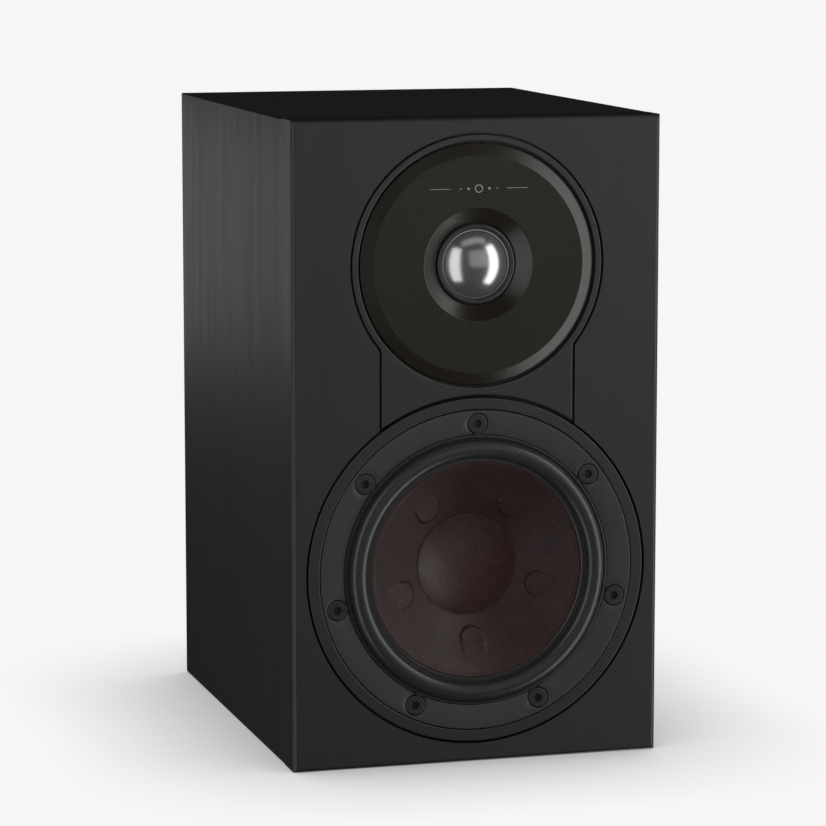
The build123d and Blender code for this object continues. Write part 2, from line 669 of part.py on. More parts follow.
def tweeter_top_plate():
    """Front iron plate of the tweeter's gap."""
    gap = TWEETER_COIL_RADIUS + 0.5 + MOVING_GAP
    return ring(gap, TWEETER_MOTOR_RADIUS, TWEETER_SEAT, TWEETER_PLATE_BACK, TWEETER_HEIGHT)


def tweeter_magnet():
    """Ferrite ring of the tweeter."""
    inner = TWEETER_COIL_RADIUS + 4
    outer = TWEETER_MOTOR_RADIUS + 1
    return ring(inner, outer, TWEETER_PLATE_BACK, TWEETER_MAGNET_BACK, TWEETER_HEIGHT)


def tweeter_back_plate():
    """Rear iron plate in one piece with the vented pole."""
    plate = ring(3.0, TWEETER_MOTOR_RADIUS, TWEETER_MAGNET_BACK, TWEETER_BACK, TWEETER_HEIGHT)
    pole = TWEETER_COIL_RADIUS - 0.2 - MOVING_GAP
    return plate + ring(3.0, pole, TWEETER_SEAT, TWEETER_MAGNET_BACK, TWEETER_HEIGHT)


def tweeter_rear_chamber():
    """Closed cup behind the vented pole."""
    back = TWEETER_BACK + TWEETER_CHAMBER_DEPTH
    radius = TWEETER_CHAMBER_RADIUS
    wall = 1.6
    outline = [
        (radius - wall, TWEETER_BACK),
        (radius, TWEETER_BACK),
        (radius, back),
        (0, back),
        (0, back - wall),
        (radius - wall, back - wall),
    ]
    return turned(outline, TWEETER_HEIGHT)


def tweeter_tag_height():
    """Height of the tweeter's tags, below its rear chamber."""
    return TWEETER_HEIGHT - (TWEETER_CHAMBER_RADIUS + TWEETER_MOTOR_RADIUS) / 2


def tweeter_terminals():
    """Insulating block on the back plate with two tags."""
    z = tweeter_tag_height()
    base = block(-9, 9, TWEETER_BACK, TWEETER_BACK + 3, z - 3, z + 3)
    tags = [
        block(x - 1.6, x + 1.6, TWEETER_BACK + 3, TWEETER_BACK + 10, z - 0.4, z + 0.4) for x in (-5, 5)
    ]
    return [base] + tags


def tweeter_screws():
    """Screws through the baffle from behind into the faceplate."""
    screws = []
    for x, z in places_around(4, TWEETER_SCREW_CIRCLE, TWEETER_HEIGHT, 45):
        head = rod(3.2, BAFFLE_BACK, BAFFLE_BACK + 2.5, x, z)
        screws.append(head + rod(1.5, SEAT - 3.2, BAFFLE_BACK, x, z))
    return screws


# ---------------------------------------------------------------- bass port

def port_tube():
    """Tube flared at both ends, with a flange on the rear panel."""
    bore = PORT_BORE_RADIUS
    outside = bore + PORT_WALL
    mouth = REAR + PORT_FLANGE_THICKNESS
    inner_end = REAR - PORT_LENGTH
    flare = PORT_FLARE
    bend = flare * math.sqrt(0.5)
    edges = [
        ThreePointArc(
            (bore + flare, mouth), (bore + flare - bend, mouth - flare + bend), (bore, mouth - flare)
        ),
        Line((bore, mouth - flare), (bore, inner_end + flare)),
        ThreePointArc(
            (bore, inner_end + flare),
            (bore + flare - bend, inner_end + flare - bend),
            (bore + flare, inner_end),
        ),
        Line((bore + flare, inner_end), (bore + flare, inner_end + PORT_WALL)),
        Line((bore + flare, inner_end + PORT_WALL), (outside, inner_end + flare)),
        Line((outside, inner_end + flare), (outside, REAR - flare)),
        Line((outside, REAR - flare), (outside + flare, REAR)),
        Line((outside + flare, REAR), (PORT_FLANGE_RADIUS, REAR)),
        Line((PORT_FLANGE_RADIUS, REAR), (PORT_FLANGE_RADIUS, mouth - 0.8)),
        Line((PORT_FLANGE_RADIUS, mouth - 0.8), (PORT_FLANGE_RADIUS - 0.8, mouth)),
        Line((PORT_FLANGE_RADIUS - 0.8, mouth), (bore + flare, mouth)),
    ]
    return turned_edges(edges, PORT_HEIGHT)


# ---------------------------------------------------------------- terminal cup

CUP_SEAT = REAR + GASKET_THICKNESS
CUP_FRONT = CUP_SEAT + CUP_RIM_THICKNESS
CUP_FLOOR_FACE = CUP_FRONT - CUP_RECESS
CUP_BACK = CUP_FLOOR_FACE - CUP_FLOOR
COLLAR_END = CUP_FLOOR_FACE + POST_COLLAR_LENGTH
WASHER_END = COLLAR_END + POST_WASHER_THICKNESS
CAP_END = WASHER_END + POST_CAP_LENGTH
STUD_END = CAP_END - 1.0
NUT_THICKNESS = 4.5
TAG_THICKNESS = 0.8
TAG_LENGTH = 14.0


def cup_screw_places():
    """Places (x, z) of the cup's four screws."""
    x = CUP_WIDTH / 2 + CUP_RIM / 2 - 0.5
    z = CUP_HEIGHT / 2 + CUP_RIM / 2 - 0.5
    return [(sx * x, TERMINAL_HEIGHT + sz * z) for sx in (-1, 1) for sz in (-1, 1)]


def post_places():
    """X of each binding post."""
    return {"red": -POST_SPACING / 2, "black": POST_SPACING / 2}


def terminal_cup():
    """Moulded recessed cup with a rim on the rear panel."""
    rim = front_slab(cup_sketch(CUP_RIM, CUP_CORNER), CUP_SEAT, CUP_FRONT)
    rim = fillet(rim.faces().sort_by(Axis.Y)[-1].edges(), 0.8)
    cup = rim + front_slab(cup_sketch(0, CUP_CORNER), CUP_BACK, CUP_SEAT)
    cup -= front_slab(cup_sketch(-CUP_WALL, CUP_CORNER - CUP_WALL), CUP_FLOOR_FACE, CUP_FRONT + 1)
    for x, z in cup_screw_places():
        cup -= rod(1.7, CUP_SEAT - 1, CUP_FRONT + 1, x, z)
    for x in post_places().values():
        cup -= rod(STUD_RADIUS + THREAD_CLEARANCE, CUP_BACK - 1, CUP_FLOOR_FACE + 1, x, TERMINAL_HEIGHT)
    return cup


def terminal_gasket():
    """Foam frame under the cup's rim."""
    gasket = front_slab(cup_sketch(CUP_RIM - 0.5, CUP_CORNER), REAR, CUP_SEAT)
    gasket -= front_slab(cup_sketch(CUP_CLEARANCE, CUP_CORNER), REAR - 1, CUP_SEAT + 1)
    for x, z in cup_screw_places():
        gasket -= rod(1.7, REAR - 1, CUP_SEAT + 1, x, z)
    return gasket


def terminal_screws():
    """Pan-headed screws of the cup."""
    screws = []
    for x, z in cup_screw_places():
        head = rod(2.9, CUP_FRONT, CUP_FRONT + 1.8, x, z)
        head = fillet(head.edges().group_by(Axis.Y)[-1], 0.8)
        screw = head + rod(1.35, REAR_PANEL_FRONT + 1.5, CUP_FRONT, x, z)
        slot = block(x - 2, x + 2, CUP_FRONT + 0.9, CUP_FRONT + 3, z - 0.4, z + 0.4)
        cross = block(x - 0.4, x + 0.4, CUP_FRONT + 0.9, CUP_FRONT + 3, z - 2, z + 2)
        screws.append(screw - slot - cross)
    return screws


def post_stud(x):
    """Threaded stud with a plug socket in its outer end and a cross hole for bare wire."""
    inner_end = CUP_BACK - 2 * NUT_THICKNESS - TAG_THICKNESS - 2
    stud = rod(STUD_RADIUS, inner_end, STUD_END, x, TERMINAL_HEIGHT)
    stud -= rod(SOCKET_RADIUS, STUD_END - SOCKET_DEPTH, STUD_END + 1, x, TERMINAL_HEIGHT)
    low = TERMINAL_HEIGHT - STUD_RADIUS - 1
    high = TERMINAL_HEIGHT + STUD_RADIUS + 1
    return stud - pillar(1.4, low, high, x, WASHER_END + 1.8)


def post_collar(x):
    """Coloured insulating collar on the cup's floor."""
    radius = STUD_RADIUS + THREAD_CLEARANCE
    tube = rod(POST_COLLAR_RADIUS, CUP_FLOOR_FACE, COLLAR_END, x, TERMINAL_HEIGHT)
    tube = fillet(tube.edges().group_by(Axis.Y)[-1], 0.6)
    return tube - rod(radius, CUP_FLOOR_FACE - 1, COLLAR_END + 1, x, TERMINAL_HEIGHT)


def post_washer(x):
    """Clamp washer that moves with the cap but doesn't turn."""
    radius = STUD_RADIUS + THREAD_CLEARANCE
    washer = rod(POST_WASHER_RADIUS, COLLAR_END, WASHER_END, x, TERMINAL_HEIGHT)
    return washer - rod(radius, COLLAR_END - 1, WASHER_END + 1, x, TERMINAL_HEIGHT)


def post_cap(x):
    """Fluted screw cap."""
    cap = rod(POST_CAP_RADIUS, WASHER_END, CAP_END, x, TERMINAL_HEIGHT)
    cap = fillet(cap.edges().group_by(Axis.Y)[-1], 1.0)
    for fx, fz in places_around(POST_FLUTES, POST_CAP_RADIUS + 0.45, TERMINAL_HEIGHT):
        cap -= rod(0.9, WASHER_END + 2, CAP_END - 3, x + fx, fz)
    radius = STUD_RADIUS + THREAD_CLEARANCE
    return cap - rod(radius, WASHER_END - 1, CAP_END + 1, x, TERMINAL_HEIGHT)


def post_nuts():
    """Two nuts on each stud, inside the cabinet."""
    nuts = []
    for x in post_places().values():
        for back in (CUP_BACK, CUP_BACK - NUT_THICKNESS - TAG_THICKNESS):
            sketch = Pos(x, TERMINAL_HEIGHT) * (RegularPolygon(5.6, 6) - Circle(STUD_RADIUS))
            nuts.append(front_slab(sketch, back - NUT_THICKNESS, back))
    return nuts


def post_tags():
    """Solder tag between the nuts of each stud."""
    back = CUP_BACK - NUT_THICKNESS
    tags = []
    for x in post_places().values():
        eye = Pos(x, TERMINAL_HEIGHT) * Circle(5.2)
        tail = Pos(x, TERMINAL_HEIGHT - TAG_LENGTH / 2) * Rectangle(4.0, TAG_LENGTH)
        hole = Pos(x, TERMINAL_HEIGHT) * Circle(STUD_RADIUS)
        tags.append(front_slab(eye + tail - hole, back - TAG_THICKNESS, back))
    return tags


# ---------------------------------------------------------------- crossover

BOARD_BOTTOM = WALL + STANDOFF_HEIGHT
BOARD_TOP = BOARD_BOTTOM + BOARD_THICKNESS


def board_corners():
    """Places (x, y) of the board's four screws."""
    x = BOARD_WIDTH / 2 - 4
    return [(sx * x, y) for sx in (-1, 1) for y in (BOARD_FRONT + 4, BOARD_REAR - 4)]


def crossover_board():
    """Circuit board above the bottom panel."""
    half = BOARD_WIDTH / 2
    board = block(-half, half, BOARD_FRONT, BOARD_REAR, BOARD_BOTTOM, BOARD_TOP)
    for x, y in board_corners():
        board -= pillar(1.7, BOARD_BOTTOM - 1, BOARD_TOP + 1, x, y)
    return board


def crossover_standoffs():
    """Spacers under the board's corners."""
    return [
        pillar(3.5, WALL, BOARD_BOTTOM, x, y) - pillar(1.7, WALL - 1, BOARD_BOTTOM + 1, x, y)
        for x, y in board_corners()
    ]


def crossover_screws():
    """Screws through the board and spacers into the bottom panel."""
    return [
        pillar(3.0, BOARD_TOP, BOARD_TOP + 2, x, y) + pillar(1.5, WALL - 8, BOARD_TOP, x, y)
        for x, y in board_corners()
    ]


def winding(inner, outer, height, x, y):
    """Air-cored coil standing on the board."""
    coil = pillar(outer, BOARD_TOP, BOARD_TOP + height, x, y)
    return coil - pillar(inner, BOARD_TOP - 1, BOARD_TOP + height + 1, x, y)


def crossover_capacitors():
    """Film capacitors lying on the board, just clear of it."""
    radius = 7.0
    z = BOARD_TOP + radius + 0.2
    return [rod(radius, 24, 56, 16, z), rod(radius, 24, 56, 33, z)]


def crossover_resistors():
    """Ceramic resistors on the board."""
    return [
        block(-42, -16, y, y + 9, BOARD_TOP, BOARD_TOP + 9) for y in (42, 55)
    ]


# ---------------------------------------------------------------- inner leads

BOARD_EDGE_Y = BOARD_FRONT + 5.0


def input_leads():
    """Leads from the binding posts' tags down to the board."""
    y = CUP_BACK - NUT_THICKNESS - TAG_THICKNESS / 2
    end_y = BOARD_REAR - 8
    leads = []
    for x in post_places().values():
        points = [
            (x, y, TERMINAL_HEIGHT - TAG_LENGTH),
            (x, y, BOARD_TOP + 24),
            (x, end_y, BOARD_TOP + 13),
            (x, end_y, BOARD_TOP),
        ]
        leads.append(lead(points, LEAD_DIAMETER))
    return leads


def woofer_leads():
    """Leads from the board, up behind the magnet, to the woofer's tags."""
    tag_y = MOTOR_FRONT - 1 + 8
    z = STRIP_HEIGHT + 2.4
    leads = []
    for x in (-6, 6):
        points = [
            (x, BOARD_EDGE_Y, BOARD_TOP),
            (x, BOARD_EDGE_Y, BOARD_TOP + 26),
            (x, BOARD_EDGE_Y - 10, BOARD_TOP + 60),
            (x, BOARD_EDGE_Y - 6, z - 19),
            (x, BOARD_EDGE_Y - 20, z),
            (x, tag_y, z),
        ]
        leads.append(lead(points, LEAD_DIAMETER))
    return leads


def tweeter_leads():
    """Leads from the board, up through the brace's window, to the tweeter's tags."""
    z = tweeter_tag_height()
    tag_y = TWEETER_BACK + 10
    leads = []
    for side in (-1, 1):
        points = [
            (side * 14, BOARD_EDGE_Y, BOARD_TOP),
            (side * 14, BOARD_EDGE_Y, BOARD_TOP + 28),
            (side * 12.5, BOARD_EDGE_Y - 6, BOARD_TOP + 72),
            (side * 12, BOARD_EDGE_Y - 4, BRACE_HEIGHT - 8),
            (side * 9, BOARD_EDGE_Y - 20, z - 14),
            (side * 5, BOARD_EDGE_Y - 38, z),
            (side * 5, tag_y, z),
        ]
        leads.append(lead(points, LEAD_DIAMETER))
    return leads


def nodes():
    """Every sub-part by name: one solid, or a list of like solids."""
    parts = {
        "front_baffle": front_baffle(),
        "side_panel_left": side_panel(-1),
        "side_panel_right": side_panel(1),
        "top_panel": level_panel(CABINET_HEIGHT, CEILING),
        "bottom_panel": bottom_panel(),
        "rear_panel": rear_panel(),
        "cabinet_brace": cabinet_brace(),
        "damping_mat": damping_mat(),
        "keyhole_trim": keyhole_trim(),
        "woofer_trim_ring": woofer_trim_ring(),
        "woofer_basket": woofer_basket(),
        "woofer_gasket": woofer_gasket(),
        "woofer_surround": woofer_surround(),
        "woofer_cone": woofer_cone(),
        "woofer_dust_cap": woofer_dust_cap(),
        "woofer_coil_former": woofer_coil_former(),
        "woofer_voice_coil": woofer_voice_coil(),
        "woofer_spider": woofer_spider(),
        "woofer_top_plate": woofer_top_plate(),
        "woofer_magnet": woofer_magnet(),
        "woofer_back_plate": woofer_back_plate(),
        "woofer_screws": woofer_screws(),
        "woofer_terminals": woofer_terminals(),
        "woofer_tinsel_leads": woofer_tinsel_leads(),
        "tweeter_faceplate": tweeter_faceplate(),
        "tweeter_gasket": tweeter_gasket(),
        "tweeter_surround": tweeter_surround(),
        "tweeter_dome": tweeter_dome(),
        "tweeter_voice_coil": tweeter_voice_coil(),
        "tweeter_top_plate": tweeter_top_plate(),
        "tweeter_magnet": tweeter_magnet(),
        "tweeter_back_plate": tweeter_back_plate(),
        "tweeter_rear_chamber": tweeter_rear_chamber(),
        "tweeter_terminals": tweeter_terminals(),
        "tweeter_screws": tweeter_screws(),
        "port_tube": port_tube(),
        "terminal_cup": terminal_cup(),
        "terminal_gasket": terminal_gasket(),
        "terminal_screws": terminal_screws(),
        "post_nuts": post_nuts(),
        "post_tags": post_tags(),
        "crossover_board": crossover_board(),
        "crossover_standoffs": crossover_standoffs(),
        "crossover_screws": crossover_screws(),
        "crossover_woofer_coil": winding(10, 20, 18, -28, 16),
        "crossover_tweeter_coil": winding(6, 13, 12, 30, 2),
        "crossover_capacitors": crossover_capacitors(),
        "crossover_resistors": crossover_resistors(),
        "input_leads": input_leads(),
        "woofer_leads": woofer_leads(),
        "tweeter_leads": tweeter_leads(),
    }
    for colour, x in post_places().items():
        parts["post_stud_" + colour] = post_stud(x)
        parts["post_collar_" + colour] = post_collar(x)
        parts["post_washer_" + colour] = post_washer(x)
        parts["post_cap_" + colour] = post_cap(x)
    return parts


def main():
    """Write one STEP file for each sub-part."""
    os.makedirs("parts", exist_ok=True)
    for name, shape in nodes().items():
        if isinstance(shape, list):
            shape = Compound(children=[solid for piece in shape for solid in piece.solids()])
        export_step(shape, "parts/" + name + ".step")


main()
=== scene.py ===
import json
import math

import bmesh
import bpy
import numpy as np
from bpy.props import FloatProperty, FloatVectorProperty, IntProperty, PointerProperty
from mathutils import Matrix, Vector

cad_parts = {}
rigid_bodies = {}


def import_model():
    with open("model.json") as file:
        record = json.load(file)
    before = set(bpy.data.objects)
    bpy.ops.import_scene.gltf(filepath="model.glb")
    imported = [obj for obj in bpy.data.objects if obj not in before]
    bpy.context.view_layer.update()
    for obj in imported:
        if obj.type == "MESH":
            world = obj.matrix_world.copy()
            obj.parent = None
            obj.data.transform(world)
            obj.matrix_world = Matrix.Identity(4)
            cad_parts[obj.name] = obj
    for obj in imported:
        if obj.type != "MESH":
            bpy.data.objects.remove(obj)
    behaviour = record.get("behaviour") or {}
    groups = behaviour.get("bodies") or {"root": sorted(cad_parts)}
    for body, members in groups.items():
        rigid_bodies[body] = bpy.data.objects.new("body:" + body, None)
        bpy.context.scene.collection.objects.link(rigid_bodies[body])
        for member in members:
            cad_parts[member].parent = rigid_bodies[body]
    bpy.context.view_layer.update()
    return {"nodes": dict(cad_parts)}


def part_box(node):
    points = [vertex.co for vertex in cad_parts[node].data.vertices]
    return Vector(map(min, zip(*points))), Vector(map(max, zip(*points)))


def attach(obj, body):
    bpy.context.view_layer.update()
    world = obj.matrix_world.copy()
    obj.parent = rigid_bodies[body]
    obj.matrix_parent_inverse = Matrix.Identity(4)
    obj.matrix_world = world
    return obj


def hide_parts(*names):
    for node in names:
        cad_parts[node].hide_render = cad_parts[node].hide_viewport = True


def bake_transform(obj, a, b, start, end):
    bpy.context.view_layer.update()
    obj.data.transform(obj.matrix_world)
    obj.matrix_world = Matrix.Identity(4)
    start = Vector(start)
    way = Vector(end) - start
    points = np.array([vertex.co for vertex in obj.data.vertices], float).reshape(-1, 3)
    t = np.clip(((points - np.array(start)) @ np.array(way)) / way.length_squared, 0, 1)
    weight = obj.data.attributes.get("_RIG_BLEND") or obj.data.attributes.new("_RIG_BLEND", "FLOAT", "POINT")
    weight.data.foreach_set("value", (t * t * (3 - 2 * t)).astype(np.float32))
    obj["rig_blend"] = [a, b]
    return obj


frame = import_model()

bl_info = {
    "name": "Bookshelf speaker builder",
    "version": (1, 0, 0),
    "blender": (4, 5, 0),
    "location": "3D View > Sidebar > Speaker",
    "description": "Builds the surfaces and finishes of a two-way bookshelf speaker around its frame",
    "category": "Object",
}

MM = 0.001
MERGE_DISTANCE = 2e-7
CREASE = math.radians(38)


def frame_box(node):
    """Lowest and highest corner of a frame part, in millimetres."""
    low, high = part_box(node)
    return np.array(low) / MM, np.array(high) / MM


def reach_of(node):
    """Radius of a round frame part that stands in the middle of the front or the rear, in millimetres."""
    return float(frame_box(node)[1][0])


def front_of(node):
    """Depth at which a frame part begins, in millimetres."""
    return float(frame_box(node)[0][1])


def back_of(node):
    """Depth at which a frame part ends, in millimetres."""
    return float(frame_box(node)[1][1])


def centre_height(node):
    """Height of the middle of a frame part, in millimetres."""
    low, high = frame_box(node)
    return float(low[2] + high[2]) / 2


FRONT = front_of("front_baffle")
BAFFLE_BACK = back_of("front_baffle")
REAR = back_of("top_panel")
HALF_WIDTH = reach_of("front_baffle")
TOP = float(frame_box("front_baffle")[1][2])

WOOFER = centre_height("woofer_cone")
TWEETER = centre_height("tweeter_dome")
PORT = centre_height("port_tube")
CUP = centre_height("terminal_cup")


# ------------------------------------------------------------------ settings

class SpeakerShapes(bpy.types.PropertyGroup):
    """Sizes of the surfaces that the frame leaves open."""

    facets: IntProperty(
        name="Facets", description="Points around each turned surface", default=288, min=48,
        subtype="UNSIGNED",
    )
    arches: IntProperty(
        name="Arches", description="Embossed arches on the cone", default=5, min=0, subtype="UNSIGNED"
    )
    arch_height: FloatProperty(
        name="Arch height", description="How far each arch stands out of the cone", default=0.0011,
        unit="LENGTH", precision=5,
    )
    arch_angle: FloatProperty(
        name="First arch", description="Angle of the first arch from the right", default=math.radians(-16.5),
        subtype="ANGLE",
    )
    edge: FloatProperty(
        name="Cabinet edge", description="Rounding of the wrapped cabinet's long edges", default=0.0006,
        unit="LENGTH", precision=5,
    )


class SpeakerColours(bpy.types.PropertyGroup):
    """Base colours of the visible finishes."""

    ash: FloatVectorProperty(
        name="Ash", description="Black ash wrap", subtype="COLOR", size=3, default=(0.0080, 0.0080, 0.0081)
    )
    trim: FloatVectorProperty(
        name="Trim", description="Satin trim", subtype="COLOR", size=3, default=(0.0095, 0.0095, 0.0097)
    )
    plate: FloatVectorProperty(
        name="Plate", description="Tweeter plate", subtype="COLOR", size=3, default=(0.0062, 0.0050, 0.0030)
    )
    pulp: FloatVectorProperty(
        name="Pulp", description="Cone and dust cap", subtype="COLOR", size=3,
        default=(0.0115, 0.0052, 0.0050),
    )
    dome: FloatVectorProperty(
        name="Dome", description="Tweeter dome", subtype="COLOR", size=3, default=(0.46, 0.46, 0.47)
    )


class SpeakerStage(bpy.types.PropertyGroup):
    """Camera and lights."""

    camera_place: FloatVectorProperty(
        name="Camera", description="Where the camera stands", size=3, default=(-0.4468, -1.5620, 0.3734),
        subtype="TRANSLATION", unit="LENGTH",
    )
    camera_yaw: FloatProperty(
        name="Yaw", description="Turn of the camera from straight ahead", default=math.radians(16.016),
        subtype="ANGLE",
    )
    camera_pitch: FloatProperty(
        name="Pitch", description="Tilt of the camera below level", default=math.radians(8.308),
        subtype="ANGLE",
    )
    lens: FloatProperty(name="Lens", description="Focal length", default=158.41, unit="CAMERA")
    left_light: FloatProperty(
        name="Left light", description="Brightness of the left softbox", default=1.5, min=0.0
    )
    right_light: FloatProperty(
        name="Right light", description="Brightness of the right softbox", default=2.5, min=0.0
    )
    high_light: FloatProperty(
        name="High light", description="Brightness of the high front softbox", default=0.45, min=0.0
    )
    card_light: FloatProperty(
        name="Card light", description="Brightness of the grey card in front", default=0.32, min=0.0
    )
    fill_light: FloatProperty(
        name="Fill light", description="Brightness of the fill above the front", default=13.0, min=0.0
    )
    side_light: FloatProperty(
        name="Side light", description="Brightness of the panel beyond the left side", default=0.48, min=0.0
    )
    rear_light: FloatProperty(
        name="Rear light", description="Brightness of the two rear softboxes", default=1.6, min=0.0
    )
    cap_light: FloatProperty(
        name="Cap light", description="Brightness of the light kept for the dust cap", default=5.0, min=0.0
    )
    cone_light: FloatProperty(
        name="Cone light", description="Brightness of the light kept for the cone", default=2.2, min=0.0
    )
    top_light: FloatProperty(
        name="Top light", description="Brightness of the light kept for the top", default=0.04, min=0.0
    )
    sky: FloatProperty(
        name="Sky", description="Even light from all round", default=0.5, min=0.0
    )
    paper: FloatProperty(
        name="Paper", description="Brightness of the backdrop and the floor", default=0.914, min=0.0
    )


def settings():
    """The scene's three groups of settings."""
    scene = bpy.context.scene
    return scene.speaker_shapes, scene.speaker_colours, scene.speaker_stage


# ------------------------------------------------------------------ surfaces

def arc(centre, radius, start, end, count):
    """Points on a circle: centre plus radius times (cosine, sine) of angles from start to end, in degrees."""
    angle = np.radians(np.linspace(start, end, count))
    return np.stack([centre[0] + radius * np.cos(angle), centre[1] + radius * np.sin(angle)], axis=1)


def rounded(corners, closed=True, steps=5, hold=0.35):
    """Outline with rounded corners.

    Each corner is (a, b, radius). A corner with a radius becomes an arc tangent to both of its sides,
    and each end of the arc is followed by a point a little further along the side, so that smooth
    shading stays inside the arc.
    """
    pts = np.array([c[:2] for c in corners], float)
    radii = [c[2] if len(c) > 2 else 0.0 for c in corners]
    count = len(pts)
    out = []
    for i in range(count):
        here = pts[i]
        if not closed and i in (0, count - 1):
            out.append(here)
            continue
        before, after = pts[i - 1] - here, pts[(i + 1) % count] - here
        length_in, length_out = np.linalg.norm(before), np.linalg.norm(after)
        u, v = before / length_in, after / length_out
        turn = math.acos(np.clip(np.dot(u, v), -1, 1))
        radius = radii[i]
        if radius <= 0 or turn > math.pi - 0.01:
            out.append(here)
            continue
        reach = min(radius / math.tan(turn / 2), 0.45 * length_in, 0.45 * length_out)
        radius = reach * math.tan(turn / 2)
        centre = here + (u + v) / np.linalg.norm(u + v) * radius / math.sin(turn / 2)
        start, end = here + u * reach - centre, here + v * reach - centre
        sweep = math.pi - turn
        t = np.linspace(0, 1, steps + 1)[:, None]
        curve = centre + (np.sin((1 - t) * sweep) * start + np.sin(t * sweep) * end) / math.sin(sweep)
        if length_in - reach > 2.5 * hold:
            out.append(here + u * (reach + hold))
        out.extend(curve)
        if length_out - reach > 2.5 * hold:
            out.append(here + v * (reach + hold))
    return np.array(out)


def to_object(name, vertices, faces):
    """Mesh object from arrays of points in millimetres and of faces.

    Doubled points are merged, which closes seams and poles, and then the faces are turned outwards.
    """
    mesh = bpy.data.meshes.new(name)
    mesh.from_pydata((vertices * MM).tolist(), [], faces.tolist())
    work = bmesh.new()
    work.from_mesh(mesh)
    bmesh.ops.remove_doubles(work, verts=work.verts, dist=MERGE_DISTANCE)
    bmesh.ops.dissolve_degenerate(work, edges=work.edges, dist=1e-8)
    bmesh.ops.recalc_face_normals(work, faces=work.faces)
    work.to_mesh(mesh)
    work.free()
    mesh.shade_smooth()
    mesh.set_sharp_from_angle(angle=CREASE)
    thing = bpy.data.objects.new(name, mesh)
    bpy.context.scene.collection.objects.link(thing)
    return thing


def grid_faces(rows, columns, wrap_rows, wrap_columns, offset=0):
    """Quads between neighbouring points of a grid, as an array of four indices each."""
    i = np.arange(rows if wrap_rows else rows - 1)
    j = np.arange(columns if wrap_columns else columns - 1)
    i, j = np.meshgrid(i, j, indexing="ij")
    i2, j2 = (i + 1) % rows, (j + 1) % columns
    quads = np.stack([i * columns + j, i * columns + j2, i2 * columns + j2, i2 * columns + j], axis=-1)
    return quads.reshape(-1, 4) + offset


def surface(name, *grids):
    """One object from grids of points; each grid is (points[rows, columns, 3], wrap_rows, wrap_columns)."""
    vertices, faces, offset = [], [], 0
    for points, wrap_rows, wrap_columns in grids:
        rows, columns = points.shape[:2]
        vertices.append(points.reshape(-1, 3))
        faces.append(grid_faces(rows, columns, wrap_rows, wrap_columns, offset))
        offset += rows * columns
    return to_object(name, np.concatenate(vertices), np.concatenate(faces))


def circle_at(angles, radius, height, x=0.0):
    """Points (x + radius cos angle, height + radius sin angle)."""
    return np.stack([x + np.cos(angles) * radius, height + np.sin(angles) * radius], axis=1)


def at_depth(loop, y):
    """Loop in X and Z set at a depth, or at one depth for each of its points."""
    return np.stack([loop[:, 0], y + 0 * loop[:, 0], loop[:, 1]], axis=1)


def turned_grid(profile, height, x=0.0, facets=None, shape=None, start=0.0):
    """Profile carried round a line along Y.

    A profile point (r, y) at angle t goes to (x + r cos t, y, height + r sin t). shape(t, r, y), where
    given, returns the radius to use in place of r.
    """
    facets = facets or settings()[0].facets
    profile = np.asarray(profile, float)
    t = start + np.linspace(0, 2 * np.pi, facets, endpoint=False)[None, :]
    r, y = profile[:, 0:1], profile[:, 1:2]
    radius = shape(t, r, y) if shape else r + 0 * t
    return np.stack([x + radius * np.cos(t), y + 0 * t, height + radius * np.sin(t)], axis=-1)


def turned(name, corners, height, x=0.0, facets=None, shape=None, steps=5, hold=0.35):
    """Turned object from an outline of corners (radius, y, rounding); it closes on itself or on the axis."""
    on_axis = abs(corners[0][0]) < 1e-9
    profile = rounded(corners, closed=not on_axis, steps=steps, hold=hold)
    return surface(name, (turned_grid(profile, height, x, facets, shape), not on_axis, True))


def loop_rows(name, rows, wrap_rows=False):
    """Object from closed loops in X and Z, each with its depth: row k holds loop[k] at y[k]."""
    return surface(name, (np.array([at_depth(loop, y) for loop, y in rows]), wrap_rows, True))


def rounded_rectangle(half_width, half_height, corner, height, per_corner=12, per_side=8):
    """Closed loop of a rectangle with quarter-circle corners, centred at (0, height)."""
    a, b = half_width - corner, half_height - corner
    quarters = [((a, b), 0), ((-a, b), 90), ((-a, -b), 180), ((a, -b), 270)]
    arcs = [arc((cx, cz + height), corner, s, s + 90, per_corner) for (cx, cz), s in quarters]
    loop = []
    for k in range(4):
        loop.append(arcs[k])
        gap = np.linspace(arcs[k][-1], arcs[(k + 1) % 4][0], per_side + 2)[1:-1]
        loop.append(gap)
    return np.concatenate(loop)


def inset(loop, distance):
    """Closed loop moved inwards along its normals, which are its tangents turned by a quarter."""
    tangent = np.roll(loop, -1, axis=0) - np.roll(loop, 1, axis=0)
    tangent /= np.linalg.norm(tangent, axis=1, keepdims=True)
    normal = np.stack([-tangent[:, 1], tangent[:, 0]], axis=1)
    area = np.sum(loop[:, 0] * np.roll(loop[:, 1], -1) - np.roll(loop[:, 0], -1) * loop[:, 1])
    return loop + normal * distance * (1 if area > 0 else -1)


def smooth_step(x):
    """Zero below 0, one above 1, and 3x^2 - 2x^3 between."""
    x = np.clip(x, 0, 1)
    return x * x * (3 - 2 * x)


# ------------------------------------------------------------------ shader groups

